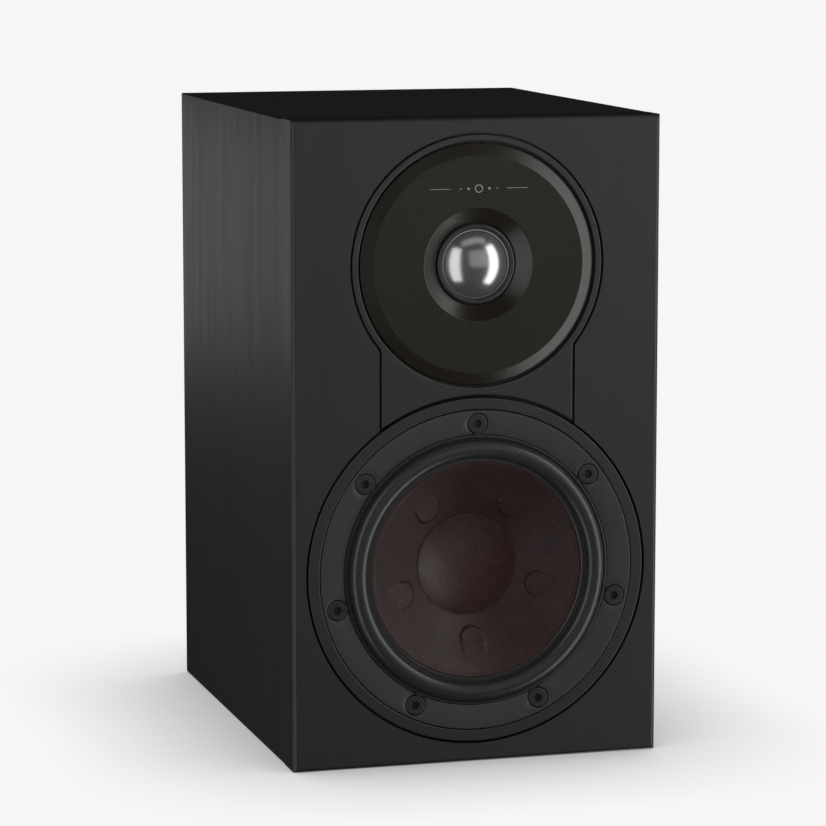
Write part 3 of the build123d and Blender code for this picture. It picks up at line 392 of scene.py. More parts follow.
class Net:
    """Short way to write a node tree."""

    def __init__(self, tree):
        self.tree = tree

    def add(self, kind, inputs=None, **attributes):
        """New node; an input is a value or the socket that feeds it."""
        node = self.tree.nodes.new(kind)
        for key, value in attributes.items():
            setattr(node, key, value)
        for key, value in (inputs or {}).items():
            if isinstance(value, bpy.types.NodeSocket):
                self.tree.links.new(value, node.inputs[key])
            else:
                node.inputs[key].default_value = value
        return node

    def math(self, operation, a, b=0.0, c=0.0):
        """Output of a Math node."""
        node = self.add("ShaderNodeMath", {0: a, 1: b, 2: c}, operation=operation)
        return node.outputs[0]

    def noise(self, vector, scale, detail=3.0, roughness=0.55, distortion=0.0):
        """Output of a Noise Texture node."""
        node = self.add(
            "ShaderNodeTexNoise",
            {"Vector": vector, "Scale": scale, "Detail": detail, "Roughness": roughness,
             "Distortion": distortion},
        )
        return node.outputs["Fac"]

    def stretch(self, vector, scale):
        """Coordinates times a scale for each axis."""
        return self.add("ShaderNodeMapping", {"Vector": vector, "Scale": scale}).outputs[0]

    def between(self, value, low, high, out_low=0.0, out_high=1.0):
        """Value carried from one range to another, and held at its ends."""
        node = self.add(
            "ShaderNodeMapRange",
            {"Value": value, "From Min": low, "From Max": high, "To Min": out_low, "To Max": out_high},
        )
        return node.outputs[0]


def new_group(name, inputs, outputs):
    """Empty shader group with named sockets; returns the group, its net and its two end nodes."""
    group = bpy.data.node_groups.new(name, "ShaderNodeTree")
    for title, kind, value in inputs:
        socket = group.interface.new_socket(title, in_out="INPUT", socket_type=kind)
        if value is not None:
            socket.default_value = value
    for title, kind in outputs:
        group.interface.new_socket(title, in_out="OUTPUT", socket_type=kind)
    net = Net(group)
    return group, net, net.add("NodeGroupInput"), net.add("NodeGroupOutput")


def grain_group():
    """Wood grain: long pores and soft figure along the stretched axis of the given coordinates."""
    inputs = [("Vector", "NodeSocketVector", None), ("Scale", "NodeSocketFloat", 60.0)]
    group, net, given, result = new_group(
        "Ash Grain", inputs, [("Shade", "NodeSocketFloat"), ("Height", "NodeSocketFloat")]
    )
    figure = net.noise(given.outputs["Vector"], given.outputs["Scale"], 5.0, 0.6, 0.4)
    fine_scale = net.math("MULTIPLY", given.outputs["Scale"], 6.0)
    pores = net.noise(given.outputs["Vector"], fine_scale, 2.0, 0.7)
    lines = net.between(pores, 0.56, 0.70)
    shade = net.math("SUBTRACT", figure, net.math("MULTIPLY", lines, 0.35))
    height = net.math("SUBTRACT", net.math("MULTIPLY", figure, 0.35), lines)
    group.links.new(shade, result.inputs["Shade"])
    group.links.new(height, result.inputs["Height"])
    return group


def mottle_group():
    """Moulded or painted skin: a fine speckle over a slow drift."""
    inputs = [("Vector", "NodeSocketVector", None), ("Scale", "NodeSocketFloat", 900.0)]
    group, net, given, result = new_group(
        "Skin Mottle", inputs, [("Speckle", "NodeSocketFloat"), ("Drift", "NodeSocketFloat")]
    )
    speckle = net.noise(given.outputs["Vector"], given.outputs["Scale"], 2.0, 0.6)
    group.links.new(speckle, result.inputs["Speckle"])
    slow = net.math("MULTIPLY", given.outputs["Scale"], 0.03)
    group.links.new(net.noise(given.outputs["Vector"], slow, 3.0, 0.5), result.inputs["Drift"])
    return group


def fibre_group():
    """Pulp: short fibres in three directions, as stretched noise cut into thin bands."""
    inputs = [("Vector", "NodeSocketVector", None), ("Scale", "NodeSocketFloat", 500.0)]
    group, net, given, result = new_group(
        "Pulp Fibres", inputs,
        [("Fibres", "NodeSocketFloat"), ("Height", "NodeSocketFloat"), ("Cloud", "NodeSocketFloat")],
    )
    bands = None
    for turn, shift in ((0.3, 0.0), (1.35, 3.7), (2.4, 9.1)):
        turned_by = net.add("ShaderNodeMapping", {
            "Vector": given.outputs["Vector"], "Rotation": (0.0, turn, 0.0), "Location": (shift, shift, 0.0),
        })
        drawn = net.stretch(turned_by.outputs[0], (1.0, 1.0, 0.13))
        field = net.noise(drawn, given.outputs["Scale"], 1.0, 0.5, 0.6)
        near = net.math("ABSOLUTE", net.math("SUBTRACT", field, 0.5))
        band = net.between(near, 0.0, 0.035, 1.0, 0.0)
        bands = band if bands is None else net.math("MAXIMUM", bands, band)
    cloud = net.noise(given.outputs["Vector"], net.math("MULTIPLY", given.outputs["Scale"], 0.12), 4.0, 0.6)
    height = net.math("ADD", net.math("MULTIPLY", bands, 0.6), net.math("MULTIPLY", cloud, 0.4))
    group.links.new(bands, result.inputs["Fibres"])
    group.links.new(height, result.inputs["Height"])
    group.links.new(cloud, result.inputs["Cloud"])
    return group


def dust_group():
    """Settled dust: a mask on faces that look up, broken by noise."""
    group, net, given, result = new_group(
        "Settled Dust", [("Vector", "NodeSocketVector", None), ("Amount", "NodeSocketFloat", 0.1)],
        [("Mask", "NodeSocketFloat")],
    )
    normal = net.add("ShaderNodeNewGeometry").outputs["Normal"]
    up = net.add("ShaderNodeSeparateXYZ", {0: normal}).outputs["Z"]
    specks = net.between(net.noise(given.outputs["Vector"], 420.0, 4.0, 0.7), 0.45, 0.75)
    mask = net.math("MULTIPLY", net.between(up, 0.3, 1.0), specks)
    group.links.new(net.math("MULTIPLY", mask, given.outputs["Amount"]), result.inputs["Mask"])
    return group


GROUPS = {}
DUST_COLOUR = (0.25, 0.24, 0.23)


def shared_group(name):
    """The shader group of that name, built once."""
    makers = {"grain": grain_group, "mottle": mottle_group, "fibre": fibre_group, "dust": dust_group}
    if name not in GROUPS:
        GROUPS[name] = makers[name]()
    return GROUPS[name]


def start_material(name, **values):
    """Material with a Principled shader; returns it, its net, the shader and the object coordinates."""
    material = bpy.data.materials.new(name)
    material.use_nodes = True
    net = Net(material.node_tree)
    shader = material.node_tree.nodes["Principled BSDF"]
    for key, value in values.items():
        shader.inputs[key.replace("_", " ")].default_value = value
    coordinates = net.add("ShaderNodeTexCoord").outputs["Object"]
    return material, net, shader, coordinates


def blend_colour(net, shader, factor, low, high):
    """Base Color between two colours by a factor."""
    ramp = net.add("ShaderNodeMix", data_type="RGBA")
    ramp.inputs["A"].default_value = (*low, 1.0)
    ramp.inputs["B"].default_value = (*high, 1.0)
    net.tree.links.new(factor, ramp.inputs["Factor"])
    net.tree.links.new(ramp.outputs["Result"], shader.inputs["Base Color"])
    return ramp


def add_bump(net, shader, height, strength, distance):
    """Bump from a height."""
    bump = net.add("ShaderNodeBump", {"Height": height, "Strength": strength, "Distance": distance})
    net.tree.links.new(bump.outputs["Normal"], shader.inputs["Normal"])


def placed_group(net, name, vector, **values):
    """Node of a shared group, with its own coordinates and values."""
    node = net.add("ShaderNodeGroup", {}, node_tree=shared_group(name))
    for key, value in values.items():
        node.inputs[key].default_value = value
    net.tree.links.new(vector, node.inputs["Vector"])
    return node


def lay_over(net, shader, ramp, factor, colour):
    """Second colour over the first one, by a factor, into Base Color."""
    over = net.add("ShaderNodeMix", data_type="RGBA")
    over.inputs["B"].default_value = (*colour, 1.0)
    net.tree.links.new(factor, over.inputs["Factor"])
    net.tree.links.new(ramp.outputs["Result"], over.inputs["A"])
    net.tree.links.new(over.outputs["Result"], shader.inputs["Base Color"])


def scaled(colour, factor):
    """Colour times a factor."""
    return tuple(min(1.0, c * factor) for c in colour)


def ash_material(name, stretch, colour, roughness=0.40):
    """Black ash foil: grain drawn along one axis, satin sheen, and a little dust where it looks up."""
    material, net, shader, here = start_material(name, IOR=1.5)
    grain = placed_group(net, "grain", net.stretch(here, stretch), Scale=85.0)
    dust = placed_group(net, "dust", here, Amount=0.02)
    ramp = blend_colour(net, shader, grain.outputs["Shade"], scaled(colour, 0.70), scaled(colour, 1.35))
    lay_over(net, shader, ramp, dust.outputs["Mask"], DUST_COLOUR)
    rough = net.between(grain.outputs["Shade"], 0.2, 0.8, roughness + 0.07, roughness - 0.04)
    net.tree.links.new(rough, shader.inputs["Roughness"])
    add_bump(net, shader, grain.outputs["Height"], 0.12, 0.00012)
    return material


def skin_material(
    name, colour, roughness, metallic=0.0, scale=900.0, bump=0.1, drift=0.12, spread=0.06, **more
):
    """Moulded, cast, painted or plated skin: mottled colour and roughness over a fine bump."""
    material, net, shader, here = start_material(name, Metallic=metallic, **more)
    skin = placed_group(net, "mottle", here, Scale=scale)
    blend_colour(net, shader, skin.outputs["Drift"], scaled(colour, 1 - drift), scaled(colour, 1 + drift))
    low, high = max(0.02, roughness - spread), min(1.0, roughness + spread)
    rough = net.between(skin.outputs["Speckle"], 0.3, 0.7, low, high)
    net.tree.links.new(rough, shader.inputs["Roughness"])
    add_bump(net, shader, skin.outputs["Speckle"], bump, 0.00008)
    return material


def pulp_material(colour):
    """Dark red-brown pulp with paler fibres pressed into it."""
    material, net, shader, here = start_material("Woofer Pulp", IOR=1.45, Specular_IOR_Level=0.22)
    fibre = placed_group(net, "fibre", here, Scale=420.0)
    ramp = blend_colour(net, shader, fibre.outputs["Cloud"], scaled(colour, 0.72), scaled(colour, 1.3))
    weak = net.math("MULTIPLY", fibre.outputs["Fibres"], 0.34)
    lay_over(net, shader, ramp, weak, scaled(colour, 2.4))
    rough = net.between(fibre.outputs["Cloud"], 0.3, 0.7, 0.40, 0.54)
    net.tree.links.new(rough, shader.inputs["Roughness"])
    add_bump(net, shader, fibre.outputs["Height"], 0.22, 0.00012)
    return material


def cloth_material(name, colour, scale, roughness=0.9):
    """Woven cloth or wadding: crossed waves for threads over a mottle."""
    material, net, shader, here = start_material(name, Sheen_Weight=0.3)
    skin = placed_group(net, "mottle", here, Scale=scale)
    waves = []
    for direction in ("X", "Z"):
        wave = net.add("ShaderNodeTexWave", {"Vector": here, "Scale": scale}, bands_direction=direction)
        waves.append(wave.outputs["Fac"])
    weave = net.math("MULTIPLY", waves[0], waves[1])
    height = net.math("ADD", weave, skin.outputs["Speckle"])
    blend_colour(net, shader, skin.outputs["Speckle"], scaled(colour, 0.75), scaled(colour, 1.2))
    rough = net.between(skin.outputs["Drift"], 0.2, 0.8, roughness - 0.08, min(1.0, roughness + 0.05))
    net.tree.links.new(rough, shader.inputs["Roughness"])
    add_bump(net, shader, height, 0.4, 0.0003)
    return material


# Each skin has its title, its colour, its roughness and what else differs. A colour is three numbers, or
# the name of a colour in the settings and a factor.
SKINS = {
    "trim": ("Satin Trim", ("trim", 1.0), 0.36, dict(scale=1400.0, bump=0.04)),
    "casting": ("Painted Casting", ("trim", 1.6), 0.36, dict(scale=1000.0, bump=0.10)),
    "rubber": ("Roll Rubber", ("trim", 1.05), 0.31, dict(scale=1600.0, bump=0.02)),
    "plate": ("Tweeter Plate", ("plate", 1.0), 0.28, dict(scale=1800.0, bump=0.006, spread=0.01)),
    "dome": ("Silver Dome", ("dome", 1.0), 0.21, dict(metallic=0.95, scale=500.0, bump=0.002, spread=0.01)),
    "screw": ("Black Screw", (0.012, 0.012, 0.012), 0.42, dict(metallic=0.3, scale=2200.0)),
    "print": ("Pale Print", (0.10, 0.098, 0.093), 0.45, dict(scale=2500.0, bump=0.02)),
    "moulding": ("Grained Moulding", (0.020, 0.020, 0.020), 0.55, dict(scale=1200.0, bump=0.35)),
    "gold": ("Gold Plating", (0.86, 0.62, 0.24), 0.22, dict(metallic=1.0, scale=1500.0, bump=0.04)),
    "steel": ("Plated Steel", (0.52, 0.52, 0.54), 0.32, dict(metallic=1.0, scale=700.0, bump=0.05)),
    "red": ("Red Cap", (0.42, 0.012, 0.010), 0.24, dict(scale=1300.0, bump=0.03, Coat_Weight=0.4)),
    "black": ("Black Cap", (0.010, 0.010, 0.011), 0.24, dict(scale=1300.0, bump=0.03, Coat_Weight=0.4)),
    "board": ("Raw Board", (0.30, 0.20, 0.12), 0.85, dict(scale=600.0, bump=0.4, drift=0.25)),
    "ferrite": ("Ferrite", (0.05, 0.05, 0.055), 0.60, dict(scale=500.0, bump=0.2)),
    "copper": ("Copper Winding", (0.60, 0.26, 0.12), 0.30, dict(metallic=1.0, scale=900.0, bump=0.2)),
    "foil": ("Former Foil", (0.60, 0.60, 0.60), 0.30, dict(metallic=1.0, scale=900.0)),
    "laminate": ("Board Laminate", (0.02, 0.10, 0.035), 0.40, dict(scale=500.0, bump=0.1)),
    "film": ("Capacitor Film", (0.62, 0.42, 0.05), 0.35, dict(scale=700.0)),
    "ceramic": ("Resistor Ceramic", (0.75, 0.74, 0.70), 0.70, dict(scale=900.0, bump=0.3)),
    "insulation": ("Lead Insulation", (0.02, 0.02, 0.022), 0.45, dict(scale=900.0)),
    "braid": ("Braided Copper", (0.65, 0.34, 0.18), 0.35, dict(metallic=1.0, scale=2500.0, bump=0.5)),
}
# Each cloth has its title, its colour, the scale of its threads and its roughness.
CLOTHS = {
    "foam": ("Gasket Foam", (0.02, 0.02, 0.02), 900.0, 0.9),
    "wadding": ("Wadding", (0.62, 0.61, 0.57), 300.0, 0.9),
    "spider": ("Spider Cloth", (0.42, 0.30, 0.12), 1200.0, 0.75),
}
# The ash's grain is drawn out along the axis whose scale is small.
ASHES = {
    "ash_upright": ("Black Ash Upright", (1.0, 1.0, 0.045)),
    "ash_level": ("Black Ash Level", (0.045, 1.0, 1.0)),
}
MATERIALS = {}


def make_material(name):
    """New material for a finish."""
    colours = settings()[1]
    if name in ASHES:
        return ash_material(*ASHES[name], tuple(colours.ash))
    if name in CLOTHS:
        return cloth_material(*CLOTHS[name])
    if name == "pulp":
        return pulp_material(tuple(colours.pulp))
    title, colour, roughness, more = SKINS[name]
    if isinstance(colour[0], str):
        colour = scaled(getattr(colours, colour[0]), colour[1])
    return skin_material(title, colour, roughness, **more)


def material(name):
    """The finish of that name, built once."""
    if name not in MATERIALS:
        MATERIALS[name] = make_material(name)
    return MATERIALS[name]


def dress(thing, finish):
    """Give an object one material."""
    thing.data.materials.clear()
    thing.data.materials.append(material(finish))
    return thing


def place(thing, finish, body, node=None):
    """Finish a new piece: material, body, and the frame part that it stands for."""
    dress(thing, finish)
    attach(thing, body)
    if node:
        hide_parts(*([node] if isinstance(node, str) else node))
    return thing


# ------------------------------------------------------------------ cabinet

class PieceOperator:
    """Shared options of the piece operators."""

    bl_options = {"REGISTER", "UNDO"}


def panel_grid(across, outer, wall, edge, turn):
    """Wrapped panel as a loop in X and Z carried along Y.

    The loop is the outer face with half of each long edge's arc, the two mitres and the inner face.
    Near the rear the outer face sinks by a quarter-circle law, so the rear edge is rounded too. turn
    maps (across, outward) to (x, z).
    """
    half = np.radians(np.linspace(45, 0, 5))
    right = np.stack([across - edge + edge * np.sin(half), outer - edge + edge * np.cos(half)], axis=1)
    flat = np.stack([np.linspace(across - edge, -(across - edge), 12)[1:-1], np.full(10, outer)], axis=1)
    left = right[::-1] * np.array([-1.0, 1.0])
    inner = np.stack([np.linspace(wall - across, across - wall, 12), np.full(12, outer - wall)], axis=1)
    loop = np.concatenate([right, flat, left, inner])
    is_outer = np.arange(len(loop)) < len(loop) - len(inner)
    angle = np.radians(np.linspace(0, 90, 5))[1:]
    straight = np.concatenate([[BAFFLE_BACK], np.linspace(BAFFLE_BACK + 2, REAR - edge, 20)])
    depth = np.concatenate([straight, REAR - edge + edge * np.sin(angle)])
    sunk = np.concatenate([np.zeros(len(straight)), edge - edge * np.cos(angle)])
    a = np.tile(loop[:, 0], (len(depth), 1))
    b = loop[None, :, 1] - sunk[:, None] * is_outer[None, :]
    x, z = turn(a, b)
    return np.stack([x, depth[:, None] + 0 * a, z], axis=-1)


def capped(points):
    """Grid with a fan to its middle at each end, so that it is closed."""
    first = np.repeat(points[:1].mean(axis=1, keepdims=True), points.shape[1], axis=1)
    last = np.repeat(points[-1:].mean(axis=1, keepdims=True), points.shape[1], axis=1)
    return np.concatenate([first, points, last])


class SPEAKER_OT_panels(PieceOperator, bpy.types.Operator):
    """Wrapped side, top and bottom panels, mitred on their long edges"""

    bl_idname = "speaker.panels"
    bl_label = "Cabinet panels"

    def execute(self, context):
        edge = settings()[0].edge / MM
        middle = TOP / 2
        wall = HALF_WIDTH - reach_of("damping_mat")
        turns = {
            "side_panel_left": (middle, HALF_WIDTH, lambda a, b: (-b, middle + a), "ash_upright"),
            "side_panel_right": (middle, HALF_WIDTH, lambda a, b: (b, middle - a), "ash_upright"),
            "top_panel": (HALF_WIDTH, middle, lambda a, b: (a, middle + b), "ash_level"),
            "bottom_panel": (HALF_WIDTH, middle, lambda a, b: (-a, middle - b), "ash_level"),
        }
        for node, (across, outer, turn, finish) in turns.items():
            grid = capped(panel_grid(across, outer, wall, edge, turn))
            panel = surface("wrapped_" + node, (grid, False, True))
            place(panel, finish, "cabinet", node)
        return {"FINISHED"}


class SPEAKER_OT_boards(PieceOperator, bpy.types.Operator):
    """Ash finish on the front baffle and the rear panel"""

    bl_idname = "speaker.boards"
    bl_label = "Baffle and rear panel"

    def execute(self, context):
        dress(frame["nodes"]["front_baffle"], "ash_upright")
        dress(frame["nodes"]["rear_panel"], "ash_upright")
        return {"FINISHED"}


# ------------------------------------------------------------------ trims

TRIM_EDGE = 0.45
NECK_HALF = 42.6
NECK_FILLET = 3.0
JOINT_LINE = 0.6
CIRCLE_POINTS = 200


def keyhole_loop(shrink, pocket, radius):
    """Closed loop of the keyhole: the circle round the tweeter, two fillets, the neck and the woofer's arc.

    Returns the loop and, for each of its points, the angle on the inner circle that it is joined to.
    """
    big, side, corner = radius - shrink, NECK_HALF - shrink, NECK_FILLET + shrink
    fillet_z = TWEETER - math.sqrt((big + corner) ** 2 - (side + corner) ** 2)
    reach = math.degrees(math.atan2(TWEETER - fillet_z, side + corner))
    circle = arc((0, TWEETER), big, -reach, 180 + reach, CIRCLE_POINTS)
    left = arc((-(side + corner), fillet_z), corner, reach, 0, 10)[1:]
    bottom_z = WOOFER + math.sqrt((pocket + shrink) ** 2 - side ** 2)
    down = np.stack([np.full(16, -side), np.linspace(fillet_z, bottom_z, 18)[1:-1]], axis=1)
    spread = math.degrees(math.acos(side / (pocket + shrink)))
    under = arc((0, WOOFER), pocket + shrink, 180 - spread, spread, 60)
    loop = np.concatenate([circle, left, down, under, down[::-1] * [-1, 1], left[::-1] * [-1, 1]])
    neck_angles = np.linspace(180 + reach, 360 - reach, len(loop) - CIRCLE_POINTS + 2)[1:-1]
    angles = np.concatenate([np.linspace(-reach, 180 + reach, CIRCLE_POINTS), neck_angles])
    return loop, np.radians(angles)


class SPEAKER_OT_trims(PieceOperator, bpy.types.Operator):
    """Keyhole trim around the tweeter and flush ring around the woofer"""

    bl_idname = "speaker.trims"
    bl_label = "Keyhole and ring"

    def execute(self, context):
        self.keyhole()
        self.ring()
        return {"FINISHED"}

    def keyhole(self):
        """Trim between the keyhole's outline and the tweeter's hole, each with a quarter-round edge.

        A row of its flat front is (1 - t) times the outline plus t times the hole's circle.
        """
        pocket = reach_of("woofer_trim_ring") + JOINT_LINE
        opening = reach_of("tweeter_faceplate") + 1.0
        back = back_of("keyhole_trim")
        loop, angles = keyhole_loop(0.35, pocket, reach_of("keyhole_trim"))
        quarter = np.radians(np.linspace(0, 90, 5))
        away, sunk = TRIM_EDGE - TRIM_EDGE * np.cos(quarter), TRIM_EDGE - TRIM_EDGE * np.sin(quarter)
        rows = [(loop, back)]
        rows += [(inset(loop, a), FRONT + d) for a, d in zip(away, sunk)]
        start = inset(loop, TRIM_EDGE)
        wide = circle_at(angles, opening + TRIM_EDGE, TWEETER)
        rows += [(start * (1 - t) + wide * t, FRONT) for t in (0.06, 0.35, 0.65, 0.94)]
        rows += [(circle_at(angles, opening + a, TWEETER), FRONT + d) for a, d in zip(away[::-1], sunk[::-1])]
        rows.append((circle_at(angles, opening, TWEETER), back))
        trim = loop_rows("keyhole_trim_plate", rows, wrap_rows=True)
        place(trim, "trim", "cabinet", "keyhole_trim")

    def ring(self):
        """Flat ring with a quarter-round on both edges of its front, turned round the woofer's axis."""
        inner, outer = reach_of("woofer_basket") + 0.4, reach_of("woofer_trim_ring") - 0.4
        back = back_of("woofer_trim_ring")
        corners = [(inner, FRONT, TRIM_EDGE), (outer, FRONT, TRIM_EDGE), (outer, back), (inner, back)]
        place(turned("woofer_ring", corners, WOOFER), "trim", "cabinet", "woofer_trim_ring")


# ------------------------------------------------------------------ woofer

SCREW_COUNT = 7
SCREW_CIRCLE = 63.3
FLANGE_OUTER = reach_of("woofer_basket")
FLANGE_INNER = FLANGE_OUTER - 10.5
FLANGE_BACK = front_of("woofer_gasket")
SCREW_POCKET = 4.62
POCKET_EDGE = 0.22


def screw_angles():
    """Angle of each flange screw, the first one straight up."""
    return np.pi / 2 + np.arange(SCREW_COUNT) * 2 * np.pi / SCREW_COUNT


def flange_depth(radius):
    """Front of the flange: level at its outer rim and sinking by a square law towards its inner rim."""
    return FRONT + 0.85 * ((FLANGE_OUTER - radius) / (FLANGE_OUTER - FLANGE_INNER)) ** 2


def flange_sector(angle, inner, outer):
    """Grid between one screw's pocket and its sector of the flange.

    Rows go from the pocket's floor up its wall and out to the sector's edge. Columns go round both, so a
    point is (1 - v) times the pocket's edge plus v times the sector's edge.
    """
    half = math.pi / SCREW_COUNT
    counts = (60, 12, 60, 12)

    def around(*stops):
        """Values that run through the stops, with one side's count of points between two of them."""
        sides = zip(stops[:-1], stops[1:], counts)
        return np.concatenate([np.linspace(a, b, count, endpoint=False) for a, b, count in sides])

    edge_angle = around(half, -half, -half, half, half)
    edge_radius = np.concatenate([
        np.full(counts[0], outer), np.linspace(outer, inner, counts[1], endpoint=False),
        np.full(counts[2], inner), np.linspace(inner, outer, counts[3], endpoint=False),
    ])
    border = circle_at(edge_angle, edge_radius, 0)
    turn = np.radians(around(75, -75, -105, -255, -285))
    rows = []
    for share in (0, 0.55, 1):
        rows.append(at_depth(circle_at(turn, SCREW_POCKET * share, 0, SCREW_CIRCLE), FRONT + 2.4))
    flat = []
    for a in np.radians([0, 45, 90]):
        size = SCREW_POCKET + POCKET_EDGE * (1 - math.cos(a))
        flat.append((circle_at(turn, size, 0, SCREW_CIRCLE), POCKET_EDGE * (1 - math.sin(a))))
    top = circle_at(turn, SCREW_POCKET + POCKET_EDGE, 0, SCREW_CIRCLE)
    flat += [(top * (1 - v) + border * v, 0.0) for v in (0.12, 0.35, 0.65, 0.88, 1.0)]
    for loop, drop in flat:
        radius = np.clip(np.hypot(loop[:, 0], loop[:, 1]), inner, outer)
        rows.append(at_depth(loop, flange_depth(radius) + drop))
    points = np.array(rows)
    c, s = math.cos(angle), math.sin(angle)
    x, z = points[..., 0] * c - points[..., 2] * s, points[..., 0] * s + points[..., 2] * c
    return np.stack([x, points[..., 1], z + WOOFER], axis=-1)


def leg_grid(angle, profile, width):
    """Leg of the basket: a rounded strip that follows a profile of (radius, y), closed at both ends.

    A point is the profile's point plus the strip's outline, set across the leg and along its normal.
    """
    profile = np.asarray(profile, float)
    tangent = np.gradient(profile, axis=0)
    tangent /= np.linalg.norm(tangent, axis=1, keepdims=True)
    normal = np.stack([tangent[:, 1], -tangent[:, 0]], axis=1)
    loop = rounded([(-1, -1, 0.4), (1, -1, 0.4), (1, 1, 0.4), (-1, 1, 0.4)], steps=3, hold=9)
    across = loop[None, :, 0] * width / 2 * np.ones((len(profile), 1))
    out = loop[None, :, 1] * 1.3
    radius = profile[:, 0:1] + out * normal[:, 0:1]
    y = profile[:, 1:2] + out * normal[:, 1:2]
    c, s = math.cos(angle), math.sin(angle)
    grid = np.stack([radius * c - across * s, y, WOOFER + radius * s + across * c], axis=-1)
    return capped(grid)


class SPEAKER_OT_basket(PieceOperator, bpy.types.Operator):
    """Cast woofer basket: flange with screw pockets, legs and hub"""

    bl_idname = "speaker.basket"
    bl_label = "Woofer basket"

    def execute(self, context):
        inner_edge, outer_edge = 0.45, 0.35
        inner, outer = FLANGE_INNER + inner_edge, FLANGE_OUTER - outer_edge
        half_gap = math.pi / SCREW_COUNT
        wall = reach_of("woofer_gasket") - 10.1
        seat = FRONT + 1.2
        profile = np.concatenate([
            arc((outer, flange_depth(outer) + outer_edge), outer_edge, -90, 0, 6),
            [(FLANGE_OUTER, FLANGE_BACK - 0.3), (FLANGE_OUTER - 0.2, FLANGE_BACK), (wall, FLANGE_BACK),
             (wall, FLANGE_BACK + 5.0), (wall - 2.5, FLANGE_BACK + 5.0), (wall - 2.5, seat + 0.2),
             (wall - 2.3, seat), (FLANGE_INNER, seat), (FLANGE_INNER, seat - 0.2)],
            arc((inner, flange_depth(inner) + inner_edge), inner_edge, -180, -90, 6),
        ])
        skirt = turned_grid(profile, WOOFER, facets=SCREW_COUNT * 60, start=math.pi / 2 + half_gap)
        motor, spider = back_of("woofer_basket"), back_of("woofer_spider")
        ledge = reach_of("woofer_spider") + 0.5
        hub_in = reach_of("woofer_voice_coil") + 0.9
        hub = rounded([
            (ledge, spider - 3.5, 0.5), (ledge + 2.5, spider - 3.5, 0.5), (ledge + 2.5, spider, 1.0),
            (reach_of("woofer_top_plate"), motor), (hub_in, motor), (hub_in, motor - 2.5, 0.4),
            (ledge - 6.5, motor - 2.5, 1.0), (ledge - 6.5, spider, 0.4), (ledge, spider, 0.3),
        ])
        steps = np.linspace(0, 1, 14)[:, None]
        rim, foot = np.array([wall - 1.3, FLANGE_BACK + 4.2]), np.array([ledge + 1.2, spider - 2.2])
        leg = rim * (1 - steps) + foot * steps
        leg[:, 0:1] += 1.2 * np.sin(steps * np.pi)
        grids = [(flange_sector(a, inner, outer), False, True) for a in screw_angles()]
        grids.append((skirt, False, True))
        grids.append((turned_grid(hub, WOOFER, facets=144), True, True))
        grids += [(leg_grid(a + half_gap, leg, 10.0), False, True) for a in screw_angles()]
        basket = surface("woofer_basket_casting", *grids)
        place(basket, "casting", "cabinet", "woofer_basket")
        return {"FINISHED"}


def hexagon(apothem):
    """Radius of a hexagon at an angle: the apothem over the cosine of the angle from the nearest flat."""
    return lambda t: apothem / np.cos(np.mod(t, np.pi / 3) - np.pi / 6)


def cross(reach, half):
    """Radius of a plus-shaped slot at an angle: the larger of its two bars."""
    def radius(t):
        c, s = np.abs(np.cos(t)) + 1e-9, np.abs(np.sin(t)) + 1e-9
        return np.maximum(np.minimum(reach / c, half / s), np.minimum(reach / s, half / c))
    return radius


def screw_grid(x, z, face, head, height, shank, tip, recess, depth, outward=-1.0, facets=96):
    """Screw along Y: recess floor and wall, domed head, underside, shank and pointed tip.

    Rows go outwards from the recess's middle. Recess rows take their radius from the recess's own law,
    and the first head rows blend it into the circle.
    """
    t = np.linspace(0, 2 * np.pi, facets, endpoint=False)
    hole = recess(t)
    rows = [(0 * t, depth), (hole * 0.6, depth), (hole, depth), (hole, 0.12), (hole + 0.08, 0.0)]
    edge = min(0.5, height * 0.3)
    for v in (0.15, 0.5, 0.9):
        rows.append(((hole + 0.08) * (1 - v) + (head - edge) * v, 0.0))
    for a in np.radians(np.linspace(0, 90, 6)[1:]):
        rows.append((head - edge + edge * math.sin(a) + 0 * t, edge - edge * math.cos(a)))
    for size, along in ((head, height), (shank, height), (shank, tip - 1.5), (0.3, tip), (0.0, tip)):
        rows.append((size + 0 * t, along))
    radius = np.array([r for r, _ in rows])
    drop = np.array([d for _, d in rows])[:, None]
    y = face - outward * drop + 0 * radius
    return np.stack([x + radius * np.cos(t), y, z + radius * np.sin(t)], axis=-1)


class SPEAKER_OT_woofer_screws(PieceOperator, bpy.types.Operator):
    """Socket screws of the woofer's flange"""

    bl_idname = "speaker.woofer_screws"
    bl_label = "Woofer screws"

    def execute(self, context):
        low, high = frame_box("woofer_screws")
        length = float(high[1] - low[1])
        grids = []
        for a in screw_angles():
            x, z = SCREW_CIRCLE * math.cos(a), WOOFER + SCREW_CIRCLE * math.sin(a)
            grid = screw_grid(
                x, z, FRONT + 0.1, head=4.3, height=2.3, shank=2.0, tip=length - 0.4,
                recess=hexagon(1.6), depth=1.7,
            )
            grids.append((grid, False, True))
        screws = surface("woofer_flange_screws", *grids)
        place(screws, "screw", "cabinet", "woofer_screws")
        return {"FINISHED"}


def radial_blend(thing, height, inner, outer):
    """Lets a ring stretch between a moving body at its inner edge and a fixed one at its outer edge.

    The weight of a point is a smooth step of how far it has come from the outer to the inner radius.
    """
    mesh = thing.data
    flat = np.zeros(len(mesh.vertices) * 3)
    mesh.vertices.foreach_get("co", flat)
    points = flat.reshape(-1, 3) / MM
    radius = np.hypot(points[:, 0], points[:, 2] - height)
    weight = smooth_step((outer - radius) / (outer - inner))
    mesh.attributes["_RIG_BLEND"].data.foreach_set("value", weight.astype(np.float32))


